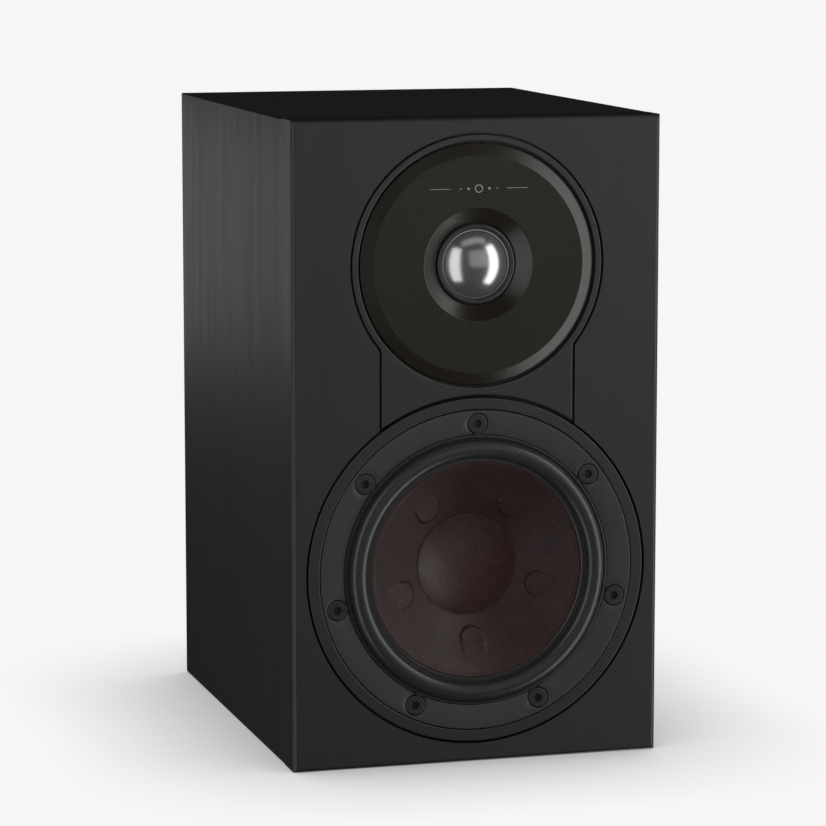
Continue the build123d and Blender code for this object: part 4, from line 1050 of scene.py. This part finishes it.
def stretching(thing, node, moving, height, inner, outer):
    """Finish a rubber ring that stretches between the cabinet and a moving body."""
    dress(thing, "rubber")
    y = FRONT * MM
    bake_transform(thing, "cabinet", moving, start=(0, y, height * MM), end=(0, y - 0.01, height * MM))
    radial_blend(thing, height, inner, outer)
    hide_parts(node)


class SPEAKER_OT_woofer_surround(PieceOperator, bpy.types.Operator):
    """Rubber half-roll of the woofer

    Its front follows the radius middle + width cos a and the depth face - rise (sin a)^0.85.
    """

    bl_idname = "speaker.woofer_surround"
    bl_label = "Woofer surround"

    def execute(self, context):
        outer, inner = FLANGE_INNER - 1.9, FLANGE_INNER - 9.8
        rim_out, seat = reach_of("woofer_surround"), back_of("woofer_surround")
        face, rim_face = FRONT + 0.25, FRONT + 0.1
        rise = face - front_of("woofer_surround")
        skin = 0.75
        middle, width = (outer + inner) / 2, (outer - inner) / 2
        roll = np.linspace(0, np.pi, 25)
        crest = np.stack([middle + width * np.cos(roll), face - rise * np.sin(roll) ** 0.85], axis=1)
        back = roll[::-1]
        inside = np.stack([middle + (width - skin) * np.cos(back), face + skin - rise * np.sin(back)], axis=1)
        lip = reach_of("woofer_cone") - 1.3
        outline = np.concatenate([
            [(rim_out, seat + 0.25), (rim_out, rim_face + 0.3), (rim_out - 0.12, rim_face + 0.08),
             (rim_out - 0.4, rim_face), (outer + 1.0, rim_face), (outer + 0.75, rim_face + 0.1),
             (outer + 0.55, face + 0.25), (outer + 0.3, face + 0.35)],
            crest[:-1],
            [(inner, face + 0.05), (inner - 0.25, face + 0.35), (inner - 0.8, face + 0.35),
             (lip + 0.3, face + 0.35), (lip, face + 0.6), (lip, face + 0.78), (inner - 0.4, face + 0.78)],
            inside[1:],
            [(outer + 0.2, seat + 0.25)],
        ])
        roll_piece = surface("woofer_roll_surround", (turned_grid(outline, WOOFER), True, True))
        stretching(roll_piece, "woofer_surround", "woofer_cone_assembly", WOOFER, inner, outer)
        return {"FINISHED"}


def emboss(angle, radius):
    """Height of the cone's arches.

    Each arch is a tongue: across it, a smooth step at each side; along it, a round end that faces the
    centre and a slope that sinks back into the cone outwards.
    """
    shapes = settings()[0]
    count = max(1, shapes.arches)
    step = 2 * np.pi / count
    near = np.mod(angle - shapes.arch_angle + step / 2, step) - step / 2
    across, along = radius * np.sin(near), radius * np.cos(near)
    half, tip, length, soft = 5.6, 26.2, 12.5, 0.65
    end = tip + half - np.sqrt(np.clip(half ** 2 - across ** 2, 0, None))
    side = smooth_step((half - np.abs(across)) / soft)
    inner = smooth_step((along - end) / soft)
    fade = 1 - smooth_step((along - tip - 1.0) / length)
    return shapes.arch_height / MM * side * inner * fade * (shapes.arches > 0)


def spherical_cap(reach, apex, foot):
    """Profile of a part of a sphere: the depth at a radius r is apex + R - square root of (R^2 - r^2).

    R is (a^2 + h^2) / 2h for the last radius a and the rise h from foot to apex.
    """
    rise = foot - apex
    sphere = (reach[-1] ** 2 + rise ** 2) / (2 * rise)
    return np.stack([reach, apex + sphere - np.sqrt(sphere ** 2 - reach ** 2)], axis=1)


class SPEAKER_OT_cone(PieceOperator, bpy.types.Operator):
    """Pulp cone with embossed arches, and its dust cap

    The cone's front is a straight slope from its neck to its rim, less the height of the arches.
    """

    bl_idname = "speaker.cone"
    bl_label = "Cone and dust cap"

    def execute(self, context):
        lip_front, lip = front_of("woofer_cone"), reach_of("woofer_cone")
        rim = lip - 2.2
        cap, edge_y = reach_of("woofer_dust_cap"), back_of("woofer_dust_cap")
        coil = reach_of("woofer_coil_former")
        slope = (edge_y - lip_front) / (rim - cap)
        collar = min(lip_front + (rim - coil) * slope + 3, back_of("woofer_cone"))
        facets = 420
        t = np.linspace(0, 2 * np.pi, facets, endpoint=False)[None, :]
        stretches = ((coil, cap - 1.5, 6), (cap - 1, 40.5, 70), (41, rim - 0.9, 8))
        r = np.concatenate([np.linspace(*stretch) for stretch in stretches])[:, None] + 0 * t
        depth = lip_front + (rim - r) * slope - emboss(t, r)
        front = np.stack([r * np.cos(t), depth, WOOFER + r * np.sin(t)], axis=-1)
        edge = [
            (rim - 0.55, lip_front + 0.45), (rim - 0.2, lip_front + 0.12), (rim + 0.2, lip_front),
            (lip - 0.1, lip_front), (lip, lip_front + 0.1), (lip, lip_front + 0.7), (rim, lip_front + 0.95),
            (coil + 1, collar - 0.4), (coil + 1, collar), (coil, collar),
        ]
        back = turned_grid(edge, WOOFER, facets=facets)
        cone = surface("woofer_pulp_cone", (np.concatenate([front, back]), True, True))
        place(cone, "pulp", "woofer_cone_assembly", "woofer_cone")
        outer = spherical_cap(cap * np.linspace(0, 1, 40), front_of("woofer_dust_cap"), edge_y)
        foot = [(cap, edge_y - 0.15), (cap - 0.1, edge_y - 0.02), (cap - 1.4, edge_y - 0.02)]
        under = outer[::-1][7:] + [0.0, 0.9]
        profile = np.concatenate([outer[:-1], foot, under])
        cap_piece = surface("woofer_cap_dome", (turned_grid(profile, WOOFER), False, True))
        place(cap_piece, "pulp", "woofer_cone_assembly", "woofer_dust_cap")
        return {"FINISHED"}


# ------------------------------------------------------------------ tweeter

PLATE_FRONT = front_of("tweeter_faceplate")
PRINT_RISE = 0.06
MOTIF_HEIGHT = 32.2


class SPEAKER_OT_plate(PieceOperator, bpy.types.Operator):
    """Tweeter faceplate with its chamfer and horn, and the printed motif above the dome"""

    bl_idname = "speaker.plate"
    bl_label = "Tweeter plate"

    def execute(self, context):
        rim, seat = reach_of("tweeter_faceplate"), back_of("tweeter_faceplate")
        throat = reach_of("tweeter_top_plate") - 16.6
        back = seat - 1.0
        floor = PLATE_FRONT + 4.3
        corners = [
            (rim, back), (rim, PLATE_FRONT + 2.1, 0.35), (rim - 5.25, PLATE_FRONT, 0.5),
            (24.0, PLATE_FRONT, 0.8), (22.6, PLATE_FRONT + 0.9, 2.4), (throat + 0.1, floor - 0.1, 0.35),
            (throat, floor + 0.4), (throat, seat - 0.5), (throat + 4.8, seat - 0.5), (throat + 4.8, seat),
            (34.0, seat), (34.0, back),
        ]
        plate = turned("tweeter_front_plate", corners, TWEETER, facets=384, steps=8)
        place(plate, "plate", "cabinet", "tweeter_faceplate")
        self.motif()
        return {"FINISHED"}

    def motif(self):
        """Two fine lines, with a small ring and two dots on each side of it between them."""
        z = TWEETER + MOTIF_HEIGHT
        face = PLATE_FRONT - 0.02
        grids = []
        t = np.linspace(0, 2 * np.pi, 24, endpoint=False)
        pill = np.stack([np.cos(t), np.sin(t)], axis=1)
        for side in (-1, 1):
            stretch = np.where(np.cos(t) > 0, 1.0, -1.0) * 4.55
            bar = np.stack([side * 16.8 + stretch + 0.14 * pill[:, 0], z + 0.14 * pill[:, 1]], axis=1)
            grids.append(self.stud(bar, face))
            for away, size in ((4.6, 0.55), (8.0, 0.35)):
                dot = np.array([side * away, z]) + pill * size
                grids.append(self.stud(dot, face))
        profile = [(1.35, face + PRINT_RISE), (1.35, face), (1.75, face), (1.75, face + PRINT_RISE)]
        grids.append((turned_grid(profile, z, facets=48), True, True))
        place(surface("plate_motif", *grids), "print", "cabinet")

    def stud(self, loop, face):
        """Shallow raised shape over a loop, closed at its back and front."""
        return capped(np.array([at_depth(loop, face + PRINT_RISE), at_depth(loop, face)])), False, True


class SPEAKER_OT_dome(PieceOperator, bpy.types.Operator):
    """Tweeter dome and the small roll around it"""

    bl_idname = "speaker.dome"
    bl_label = "Dome and roll"

    def execute(self, context):
        foot, lip = back_of("tweeter_dome"), reach_of("tweeter_dome")
        radius, skin = lip - 0.5, 0.38
        reach = radius * np.sin(np.linspace(0, np.pi / 2, 60))
        outer = spherical_cap(reach, front_of("tweeter_dome"), foot - 0.4)
        rim = [
            (radius + 0.1, foot - skin), (lip - 0.05, foot - skin), (lip, foot - 0.32), (lip, foot),
            (radius - 0.5, foot),
        ]
        under = outer[::-1][9:] + [0.0, skin]
        profile = np.concatenate([outer, rim, under])
        dome = surface("tweeter_dome_skin", (turned_grid(profile, TWEETER), False, True))
        place(dome, "dome", "tweeter_dome_assembly", "tweeter_dome")
        inner, throat, wall = lip + 0.1, 17.2, 0.35
        middle, width = (inner + throat) / 2, (throat - inner) / 2
        face, seat = foot - 0.4, back_of("tweeter_surround")
        rise = face - front_of("tweeter_surround")
        a = np.linspace(0, np.pi, 17)
        crest = np.stack([middle + width * np.cos(a), face - rise * np.sin(a)], axis=1)
        a = a[::-1]
        inside = np.stack([middle + (width - wall) * np.cos(a), face + wall - rise * np.sin(a)], axis=1)
        outer_rim = reach_of("tweeter_surround")
        outline = np.concatenate([
            crest, inside,
            [(throat - wall, seat), (outer_rim, seat), (outer_rim, seat - 0.5), (throat, seat - 0.5)],
        ])
        roll = surface("tweeter_roll", (turned_grid(outline, TWEETER), True, True))
        stretching(roll, "tweeter_surround", "tweeter_dome_assembly", TWEETER, inner, throat)
        return {"FINISHED"}


# ------------------------------------------------------------------ rear

class SPEAKER_OT_port(PieceOperator, bpy.types.Operator):
    """Flared bass port: a straight bore between two quarter circles, turned round its axis"""

    bl_idname = "speaker.port"
    bl_label = "Bass port"

    def execute(self, context):
        flange, mouth, inner_end = reach_of("port_tube"), back_of("port_tube"), front_of("port_tube")
        bore, wall, flare = 20.0, 2.5, 9.0
        q = np.radians(np.linspace(0, 90, 16))
        wide = bore + flare
        rear_flare = np.stack([wide - flare * np.sin(q), mouth - flare + flare * np.cos(q)], axis=1)
        front_flare = np.stack([wide - flare * np.cos(q), inner_end + flare - flare * np.sin(q)], axis=1)
        outside = [
            (wide, inner_end + wall), (bore + wall, inner_end + flare), (bore + wall, REAR - flare),
            (bore + wall + flare, REAR - 0.01), (flange - 0.1, REAR - 0.01), (flange, REAR + 0.2),
        ]
        lip = [
            (flange, mouth - 0.9), (flange - 0.08, mouth - 0.5), (flange - 0.3, mouth - 0.2),
            (flange - 0.7, mouth - 0.03), (flange - 1.2, mouth),
        ]
        run = np.stack([np.full(12, bore), np.linspace(mouth - flare, inner_end + flare, 14)[1:-1]], axis=1)
        profile = np.concatenate([rear_flare, run, front_flare, outside, lip])
        port = surface("bass_port_tube", (turned_grid(profile, PORT), True, True))
        place(port, "moulding", "cabinet", "port_tube")
        return {"FINISHED"}


class SPEAKER_OT_cup(PieceOperator, bpy.types.Operator):
    """Terminal cup and its screws"""

    bl_idname = "speaker.cup"
    bl_label = "Terminal cup"

    def execute(self, context):
        self.cup()
        self.screws()
        return {"FINISHED"}

    def cup(self):
        """Rounded rectangles stacked along Y: from the back, over the rim and down inside to the floor."""
        low, high = frame_box("terminal_cup")
        half_width, half_height = float(high[0]), float(high[2] - low[2]) / 2
        back, face = float(low[1]), float(high[1])
        rim_back = back_of("terminal_gasket")
        floor = back + 3.0
        edge = 0.9
        middle = 0 * rounded_rectangle(half_width, half_height, 7, CUP) + np.array([0.0, CUP])
        rows = [(middle, back)]

        def add(shrink, corner, y):
            """Adds the outline at a depth, moved inwards and with its own corner radius."""
            rows.append((rounded_rectangle(half_width - shrink, half_height - shrink, corner, CUP), y))

        add(10.6, 6.5, back)
        add(10.0, 7.0, back + 0.6)
        add(10.0, 7.0, rim_back)
        add(0.3, 7.0, rim_back)
        add(0.0, 7.0, rim_back + 0.3)
        for a in np.radians(np.linspace(0, 90, 7)):
            add(edge - edge * math.cos(a), 7.0, face - edge + edge * math.sin(a))
        add(1.4, 6.6, face)
        add(10.9, 6.2, face)
        for a in np.radians(np.linspace(90, 0, 6)):
            add(12.1 - edge * math.sin(a), 5.2, face - edge + edge * math.sin(a))
        add(12.9, 4.6, floor + edge)
        for a in np.radians(np.linspace(0, 90, 5)[1:]):
            add(12.9 + edge * (1 - math.cos(a)), 4.4, floor + edge - edge * math.sin(a))
        add(16.0, 3.0, floor)
        rows.append((middle, floor))
        place(loop_rows("rear_terminal_cup", rows), "moulding", "cabinet", "terminal_cup")

    def screws(self):
        """Cross-slot screws in the four corners of the rim."""
        low, high = frame_box("terminal_screws")
        head = 2.9
        x, z = float(high[0]) - head, float(high[2]) - head - CUP
        grids = []
        for side, level in ((-1, -1), (-1, 1), (1, -1), (1, 1)):
            grid = screw_grid(
                side * x, CUP + level * z, float(high[1]), head=head, height=1.8, shank=1.35,
                tip=float(high[1] - low[1]), recess=cross(1.7, 0.36), depth=1.0, outward=1.0, facets=120,
            )
            grids.append((grid, False, True))
        screws = surface("rear_cup_screws", *grids)
        place(screws, "screw", "cabinet", "terminal_screws")


STUD_HOLE = 3.06


class SPEAKER_OT_posts(PieceOperator, bpy.types.Operator):
    """Binding posts: studs, collars, clamp washers and fluted caps"""

    bl_idname = "speaker.posts"
    bl_label = "Binding posts"

    def execute(self, context):
        for colour in ("red", "black"):
            low, high = frame_box("post_cap_" + colour)
            x = float(low[0] + high[0]) / 2
            self.cap(colour, x)
            plastic = (colour, "cabinet", colour + "_plastic")
            self.ring("collar", colour, x, (0.0, 0.2, 0.7, 0.2), 0.35, plastic)
            plated = ("gold", "washer_" + colour, "gold")
            self.ring("washer", colour, x, (0.1, 0.25, 0.25, 0.1), 0.1, plated)
            self.stud(colour, x)
        return {"FINISHED"}

    def cap(self, colour, x):
        """Cap whose radius dips 16 times around, by the power 0.7 of a cosine, between its two plain ends."""
        low, high = frame_box("post_cap_" + colour)
        radius, start, end = float(high[0] - low[0]) / 2, float(low[1]), float(high[1])
        count, depth = 16, 0.5

        def fluted(t, r, y):
            """Radius at an angle: the cap's own, less the flutes' depth where they run."""
            along = smooth_step((y - start - 1.6) / 1.2) * smooth_step((end - 2.8 - y) / 1.2)
            dip = np.clip(np.cos(count * t), 0, None) ** 0.7
            return r - depth * dip * along * (r > radius - 1e-6)

        corners = [
            (STUD_HOLE, start), (radius, start, 0.4), (radius, end, 1.4), (3.7, end, 0.4),
            (STUD_HOLE, end - 0.7, 0.3),
        ]
        profile = rounded(corners, steps=6)
        side = np.stack([np.full(40, radius), np.linspace(start + 1.0, end - 2.0, 40)], axis=1)
        on_side = np.abs(profile[:, 0] - radius) < 1e-9
        split = int(np.argmax(on_side & (profile[:, 1] > (start + end) / 2)))
        profile = np.concatenate([profile[:split], side, profile[split:]])
        cap = surface("cap_" + colour, (turned_grid(profile, CUP, x, facets=256, shape=fluted), True, True))
        place(cap, colour, "cap_" + colour, "post_cap_" + colour)

    def ring(self, kind, colour, x, roundings, hold, made_of):
        """Turned ring round a stud, with a rounding for each corner of its section.

        made_of is its finish, the body it rides on and a material slot, which is not used.
        """
        finish, body, slot = made_of
        node = "post_" + kind + "_" + colour
        low, high = frame_box(node)
        radius, start, end = float(high[0] - low[0]) / 2, float(low[1]), float(high[1])
        section = ((STUD_HOLE, start), (radius, start), (radius, end), (STUD_HOLE, end))
        corners = [(*corner, rounding) for corner, rounding in zip(section, roundings)]
        ring = turned(kind + "_" + colour, corners, CUP, x, facets=128, hold=hold)
        place(ring, finish, body, node)

    def stud(self, colour, x):
        """Threaded stud with the plug's socket in its outer end.

        At a depth y its radius is the outer one less a height times (1 - cos(2 pi y / pitch)) / 2.
        """
        start, end = front_of("post_stud_" + colour), back_of("post_stud_" + colour)
        outer, height, pitch = 2.995, 0.22, 1.0
        y = np.linspace(start + 0.6, end - 1.2, 260)
        body = np.stack([outer - height * (0.5 - 0.5 * np.cos(2 * np.pi * y / pitch)), y], axis=1)
        tip = [
            (2.8, end - 0.6), (2.7, end - 0.15), (2.5, end), (2.25, end), (2.08, end - 0.12),
            (2.05, end - 0.4),
        ]
        bore = [(2.05, end - 4), (2.05, end - 13.6), (1.9, end - 14), (0.0, end - 14)]
        profile = np.concatenate([[(0.0, start), (2.3, start)], body, tip, bore])
        stud = surface("stud_" + colour, (turned_grid(profile, CUP, x, facets=64), False, True))
        place(stud, "gold", "cabinet", "post_stud_" + colour)


# ------------------------------------------------------------------ inside

INNER_FINISHES = {
    "board": ["cabinet_brace"],
    "wadding": ["damping_mat"],
    "foam": ["woofer_gasket", "tweeter_gasket", "terminal_gasket"],
    "foil": ["woofer_coil_former"],
    "copper": [
        "woofer_voice_coil", "tweeter_voice_coil", "crossover_woofer_coil", "crossover_tweeter_coil",
    ],
    "spider": ["woofer_spider"],
    "steel": [
        "woofer_top_plate", "woofer_back_plate", "tweeter_top_plate", "tweeter_back_plate",
        "post_nuts", "post_tags", "woofer_terminals", "tweeter_terminals",
        "crossover_screws", "crossover_standoffs", "tweeter_screws",
    ],
    "ferrite": ["woofer_magnet", "tweeter_magnet"],
    "moulding": ["tweeter_rear_chamber"],
    "laminate": ["crossover_board"],
    "film": ["crossover_capacitors"],
    "ceramic": ["crossover_resistors"],
    "insulation": ["input_leads", "woofer_leads", "tweeter_leads"],
}


TINSEL_SIDE = 6.0


def tinsel_grid(x, facets=16, steps=60):
    """Braided lead from the terminal strip to the back of the cone.

    Its middle line is the cubic curve of four points: out of the strip, level, down, and into the cone.
    A circle is carried along it, and shrinks to a point at both ends.
    """
    low, high = frame_box("woofer_tinsel_leads")
    thick = float(high[0]) - TINSEL_SIDE
    back, front = float(high[1]), float(low[1])
    upper, lower = float(high[2]) - thick, float(low[2]) + thick
    poles = np.array([
        [back, upper], [back - 13, upper], [front + 7.5, lower + 5], [front + 0.8, lower + 0.4],
    ])
    t = np.linspace(0, 1, steps)[:, None]
    weights = np.concatenate([(1 - t) ** 3, 3 * (1 - t) ** 2 * t, 3 * (1 - t) * t ** 2, t ** 3], axis=1)
    line = weights @ poles
    run = np.gradient(line, axis=0)
    run /= np.linalg.norm(run, axis=1, keepdims=True)
    line = np.concatenate([line[:1], line, line[-1:]])
    run = np.concatenate([run[:1], run, run[-1:]])
    size = np.concatenate([[0.0], np.full(steps, thick), [0.0]])[:, None]
    a = np.linspace(0, 2 * np.pi, facets, endpoint=False)[None, :]
    across, up = size * np.cos(a), size * np.sin(a)
    return np.stack([x + across, line[:, 0:1] - up * run[:, 1:2], line[:, 1:2] + up * run[:, 0:1]], axis=-1)


class SPEAKER_OT_inside(PieceOperator, bpy.types.Operator):
    """Finishes of the parts inside the cabinet, and the leads that follow the cone"""

    bl_idname = "speaker.inside"
    bl_label = "Inner parts"

    def execute(self, context):
        for finish, nodes in INNER_FINISHES.items():
            for node in nodes:
                dress(frame["nodes"][node], finish)
        self.tinsel_leads()
        return {"FINISHED"}

    def tinsel_leads(self):
        """Both braided leads; one end stays with the cabinet and the other follows the cone."""
        grids = [(tinsel_grid(x), False, True) for x in (-TINSEL_SIDE, TINSEL_SIDE)]
        leads = surface("woofer_braided_leads", *grids)
        dress(leads, "braid")
        low, high = frame_box("woofer_tinsel_leads")
        start, end = (0, high[1] * MM, high[2] * MM), (0, low[1] * MM, low[2] * MM)
        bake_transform(leads, "cabinet", "woofer_cone_assembly", start=start, end=end)
        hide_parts("woofer_tinsel_leads")


# ------------------------------------------------------------------ stage

# Each light has its angle to the right of straight ahead in degrees, its distance, its height, its width
# and height across, its brightness as a setting and a factor, the height it points at, and whether it
# gives highlights.
LIGHTS = {
    "left_softbox": (-52, 1.5, 0.05, 0.80, 2.8, "left_light", 1.0, 0.14, True),
    "right_softbox": (55, 1.5, 0.05, 0.80, 2.8, "right_light", 1.0, 0.14, True),
    "high_softbox": (8, 1.0, 1.95, 2.2, 0.6, "high_light", 1.0, 0.14, True),
    "front_card": (12, 1.6, 0.55, 1.5, 1.3, "card_light", 1.0, 0.14, True),
    "front_fill": (14, 0.42, 0.275, 0.5, 0.05, "fill_light", 1.0, 0.2, False),
    "side_panel_light": (-159, 0.80, 0.165, 0.5, 0.20, "side_light", 1.0, 0.165, True),
    "rear_left_softbox": (-114, 1.5, -0.5, 0.6, 1.6, "rear_light", 1.0, 0.1, True),
    "rear_right_softbox": (140, 1.5, -0.5, 0.7, 1.6, "rear_light", 1.0, 0.1, True),
    "rear_fill": (180, 0.9, 0.27, 0.8, 0.3, "rear_light", 2.0, 0.14, False),
    "cap_light": (-38, 1.5, -0.6, 0.9, 2.2, "cap_light", 1.0, 0.14, True),
    "cone_light": (42, 0.9, 1.15, 0.9, 0.8, "cone_light", 1.0, 0.14, True),
    "top_light": (180, 0.05, 1.6, 5.0, 5.0, "top_light", 1.0, 0.276, True),
}
# A light in ONLY reaches just that piece. The others reach all but the floor and, in SPARED, that piece.
ONLY = {"cap_light": "woofer_cap_dome", "cone_light": "woofer_pulp_cone", "top_light": "wrapped_top_panel"}
SPARED = {
    "right_softbox": "woofer_cap_dome", "high_softbox": "tweeter_front_plate",
    "front_card": "woofer_pulp_cone",
}


def softbox(name, angle, distance, height, width, tall, brightness, aim, mirrored):
    """Rectangular light that points at the cabinet's middle line. It can't be seen itself.

    Its power is pi times its area times its brightness.
    """
    a = math.radians(angle)
    place_at = Vector((distance * math.sin(a), -distance * math.cos(a), height))
    data = bpy.data.lights.new(name, "AREA")
    data.shape = "RECTANGLE"
    data.size, data.size_y = width, tall
    data.energy = math.pi * width * tall * brightness
    light = bpy.data.objects.new(name, data)
    light.location = place_at
    light.rotation_euler = (Vector((0, 0, aim)) - place_at).to_track_quat("-Z", "Y").to_euler()
    light.visible_camera = False
    light.visible_glossy = mirrored
    bpy.context.scene.collection.objects.link(light)
    return light


class SPEAKER_OT_stage(PieceOperator, bpy.types.Operator):
    """Floor, lights, world and camera"""

    bl_idname = "speaker.stage"
    bl_label = "Stage"

    def execute(self, context):
        stage = settings()[2]
        scene = context.scene
        scene.view_settings.view_transform = "Standard"
        self.lights(stage, self.floor(stage))
        self.world(scene, stage)
        self.camera(scene, stage)
        return {"FINISHED"}

    def lights(self, stage, floor):
        """The lights, each kept from the pieces that it isn't for."""
        for name, (angle, distance, height, width, tall, setting, factor, aim, mirrored) in LIGHTS.items():
            brightness = getattr(stage, setting) * factor
            light = softbox(name, angle, distance, height, width, tall, brightness, aim, mirrored)
            if name in ONLY:
                linked = self.linked(name + "_only", [bpy.data.objects[ONLY[name]]], "INCLUDE")
            else:
                spared = [floor] + ([bpy.data.objects[SPARED[name]]] if name in SPARED else [])
                linked = self.linked(name + "_spares", spared, "EXCLUDE")
            light.light_linking.receiver_collection = linked

    def camera(self, scene, stage):
        """Camera of the main view."""
        camera = bpy.data.objects.new("camera", bpy.data.cameras.new("camera"))
        camera.data.lens = stage.lens
        camera.data.sensor_width = 36.0
        camera.location = stage.camera_place
        camera.rotation_euler = (math.pi / 2 - stage.camera_pitch, 0.0, -stage.camera_yaw)
        scene.collection.objects.link(camera)
        scene.camera = camera

    def linked(self, name, pieces, state):
        """Collection that lets a light reach only these pieces, or all but these."""
        collection = bpy.data.collections.new(name)
        for piece in pieces:
            collection.objects.link(piece)
        for entry in collection.collection_objects:
            entry.light_linking.link_state = state
        return collection

    def floor(self, stage):
        """Wide floor a hair under the cabinet, glowing as bright as the backdrop, with a painted contact
        shadow: the glow drops where ambient occlusion finds the cabinet nearby.
        """
        x, y = np.meshgrid(np.linspace(-30, 30, 9), np.linspace(-30, 30, 9), indexing="ij")
        points = np.stack([x, y, np.full_like(x, -0.0002)], axis=-1) / MM
        floor = surface("floor", (points, False, False))
        finish, net, shader, _ = start_material("Studio Floor", Roughness=1.0, Specular_IOR_Level=0.0)
        shader.inputs["Base Color"].default_value = (0.02, 0.02, 0.02, 1.0)
        # Painted contact shadow: ambient occlusion dims the floor's glow near the cabinet.
        painted_shadow_occlusion = net.add("ShaderNodeAmbientOcclusion", {"Distance": 0.095}, samples=16)
        shade = net.between(painted_shadow_occlusion.outputs["AO"], 0.0, 1.0, 0.02 * stage.paper, stage.paper)
        net.tree.links.new(shade, shader.inputs["Emission Color"])
        shader.inputs["Emission Strength"].default_value = 1.0
        floor.data.materials.append(finish)
        floor.visible_glossy = False
        floor.visible_shadow = False
        return floor

    def world(self, scene, stage):
        """Pale to the eye, even for soft light, and dark in reflections."""
        world = bpy.data.worlds.new("studio")
        scene.world = world
        world.use_nodes = True
        world.node_tree.nodes.clear()
        net = Net(world.node_tree)
        path = net.add("ShaderNodeLightPath")
        seen = net.add("ShaderNodeBackground", {"Color": (stage.paper,) * 3 + (1.0,)})
        soft = net.add("ShaderNodeBackground", {"Color": (stage.sky,) * 3 + (1.0,)})
        mirrored = net.add("ShaderNodeBackground", {"Color": (0.016, 0.016, 0.016, 1.0)})
        lit = net.add("ShaderNodeMixShader", {0: path.outputs["Is Glossy Ray"]})
        both = net.add("ShaderNodeMixShader", {0: path.outputs["Is Camera Ray"]})
        out = net.add("ShaderNodeOutputWorld")
        for source, sink in (
            (soft.outputs[0], lit.inputs[1]), (mirrored.outputs[0], lit.inputs[2]),
            (lit.outputs[0], both.inputs[1]), (seen.outputs[0], both.inputs[2]),
            (both.outputs[0], out.inputs[0]),
        ):
            world.node_tree.links.new(source, sink)


# ------------------------------------------------------------------ add-on

OPERATORS = (
    SPEAKER_OT_panels,
    SPEAKER_OT_boards,
    SPEAKER_OT_trims,
    SPEAKER_OT_basket,
    SPEAKER_OT_woofer_screws,
    SPEAKER_OT_woofer_surround,
    SPEAKER_OT_cone,
    SPEAKER_OT_plate,
    SPEAKER_OT_dome,
    SPEAKER_OT_port,
    SPEAKER_OT_cup,
    SPEAKER_OT_posts,
    SPEAKER_OT_inside,
    SPEAKER_OT_stage,
)


class SPEAKER_PT_builder(bpy.types.Panel):
    """Sidebar panel with the settings and one button for each operator"""

    bl_idname = "SPEAKER_PT_builder"
    bl_label = "Bookshelf speaker"
    bl_space_type = "VIEW_3D"
    bl_region_type = "UI"
    bl_category = "Speaker"

    def draw(self, context):
        for group in settings():
            box = self.layout.box()
            for name in group.__annotations__:
                box.prop(group, name)
        for operator in OPERATORS:
            self.layout.operator(operator.bl_idname)


CLASSES = (SpeakerShapes, SpeakerColours, SpeakerStage) + OPERATORS + (SPEAKER_PT_builder,)


def register():
    """Adds the classes and the scene's settings."""
    for cls in CLASSES:
        bpy.utils.register_class(cls)
    bpy.types.Scene.speaker_shapes = PointerProperty(type=SpeakerShapes)
    bpy.types.Scene.speaker_colours = PointerProperty(type=SpeakerColours)
    bpy.types.Scene.speaker_stage = PointerProperty(type=SpeakerStage)


def unregister():
    """Takes the settings and the classes away again."""
    for name in ("speaker_shapes", "speaker_colours", "speaker_stage"):
        delattr(bpy.types.Scene, name)
    for cls in reversed(CLASSES):
        bpy.utils.unregister_class(cls)


def main():
    """Registers the add-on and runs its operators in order."""
    register()
    for operator in OPERATORS:
        family, name = operator.bl_idname.split(".")
        getattr(getattr(bpy.ops, family), name)()


if __name__ == "__main__":
    main()
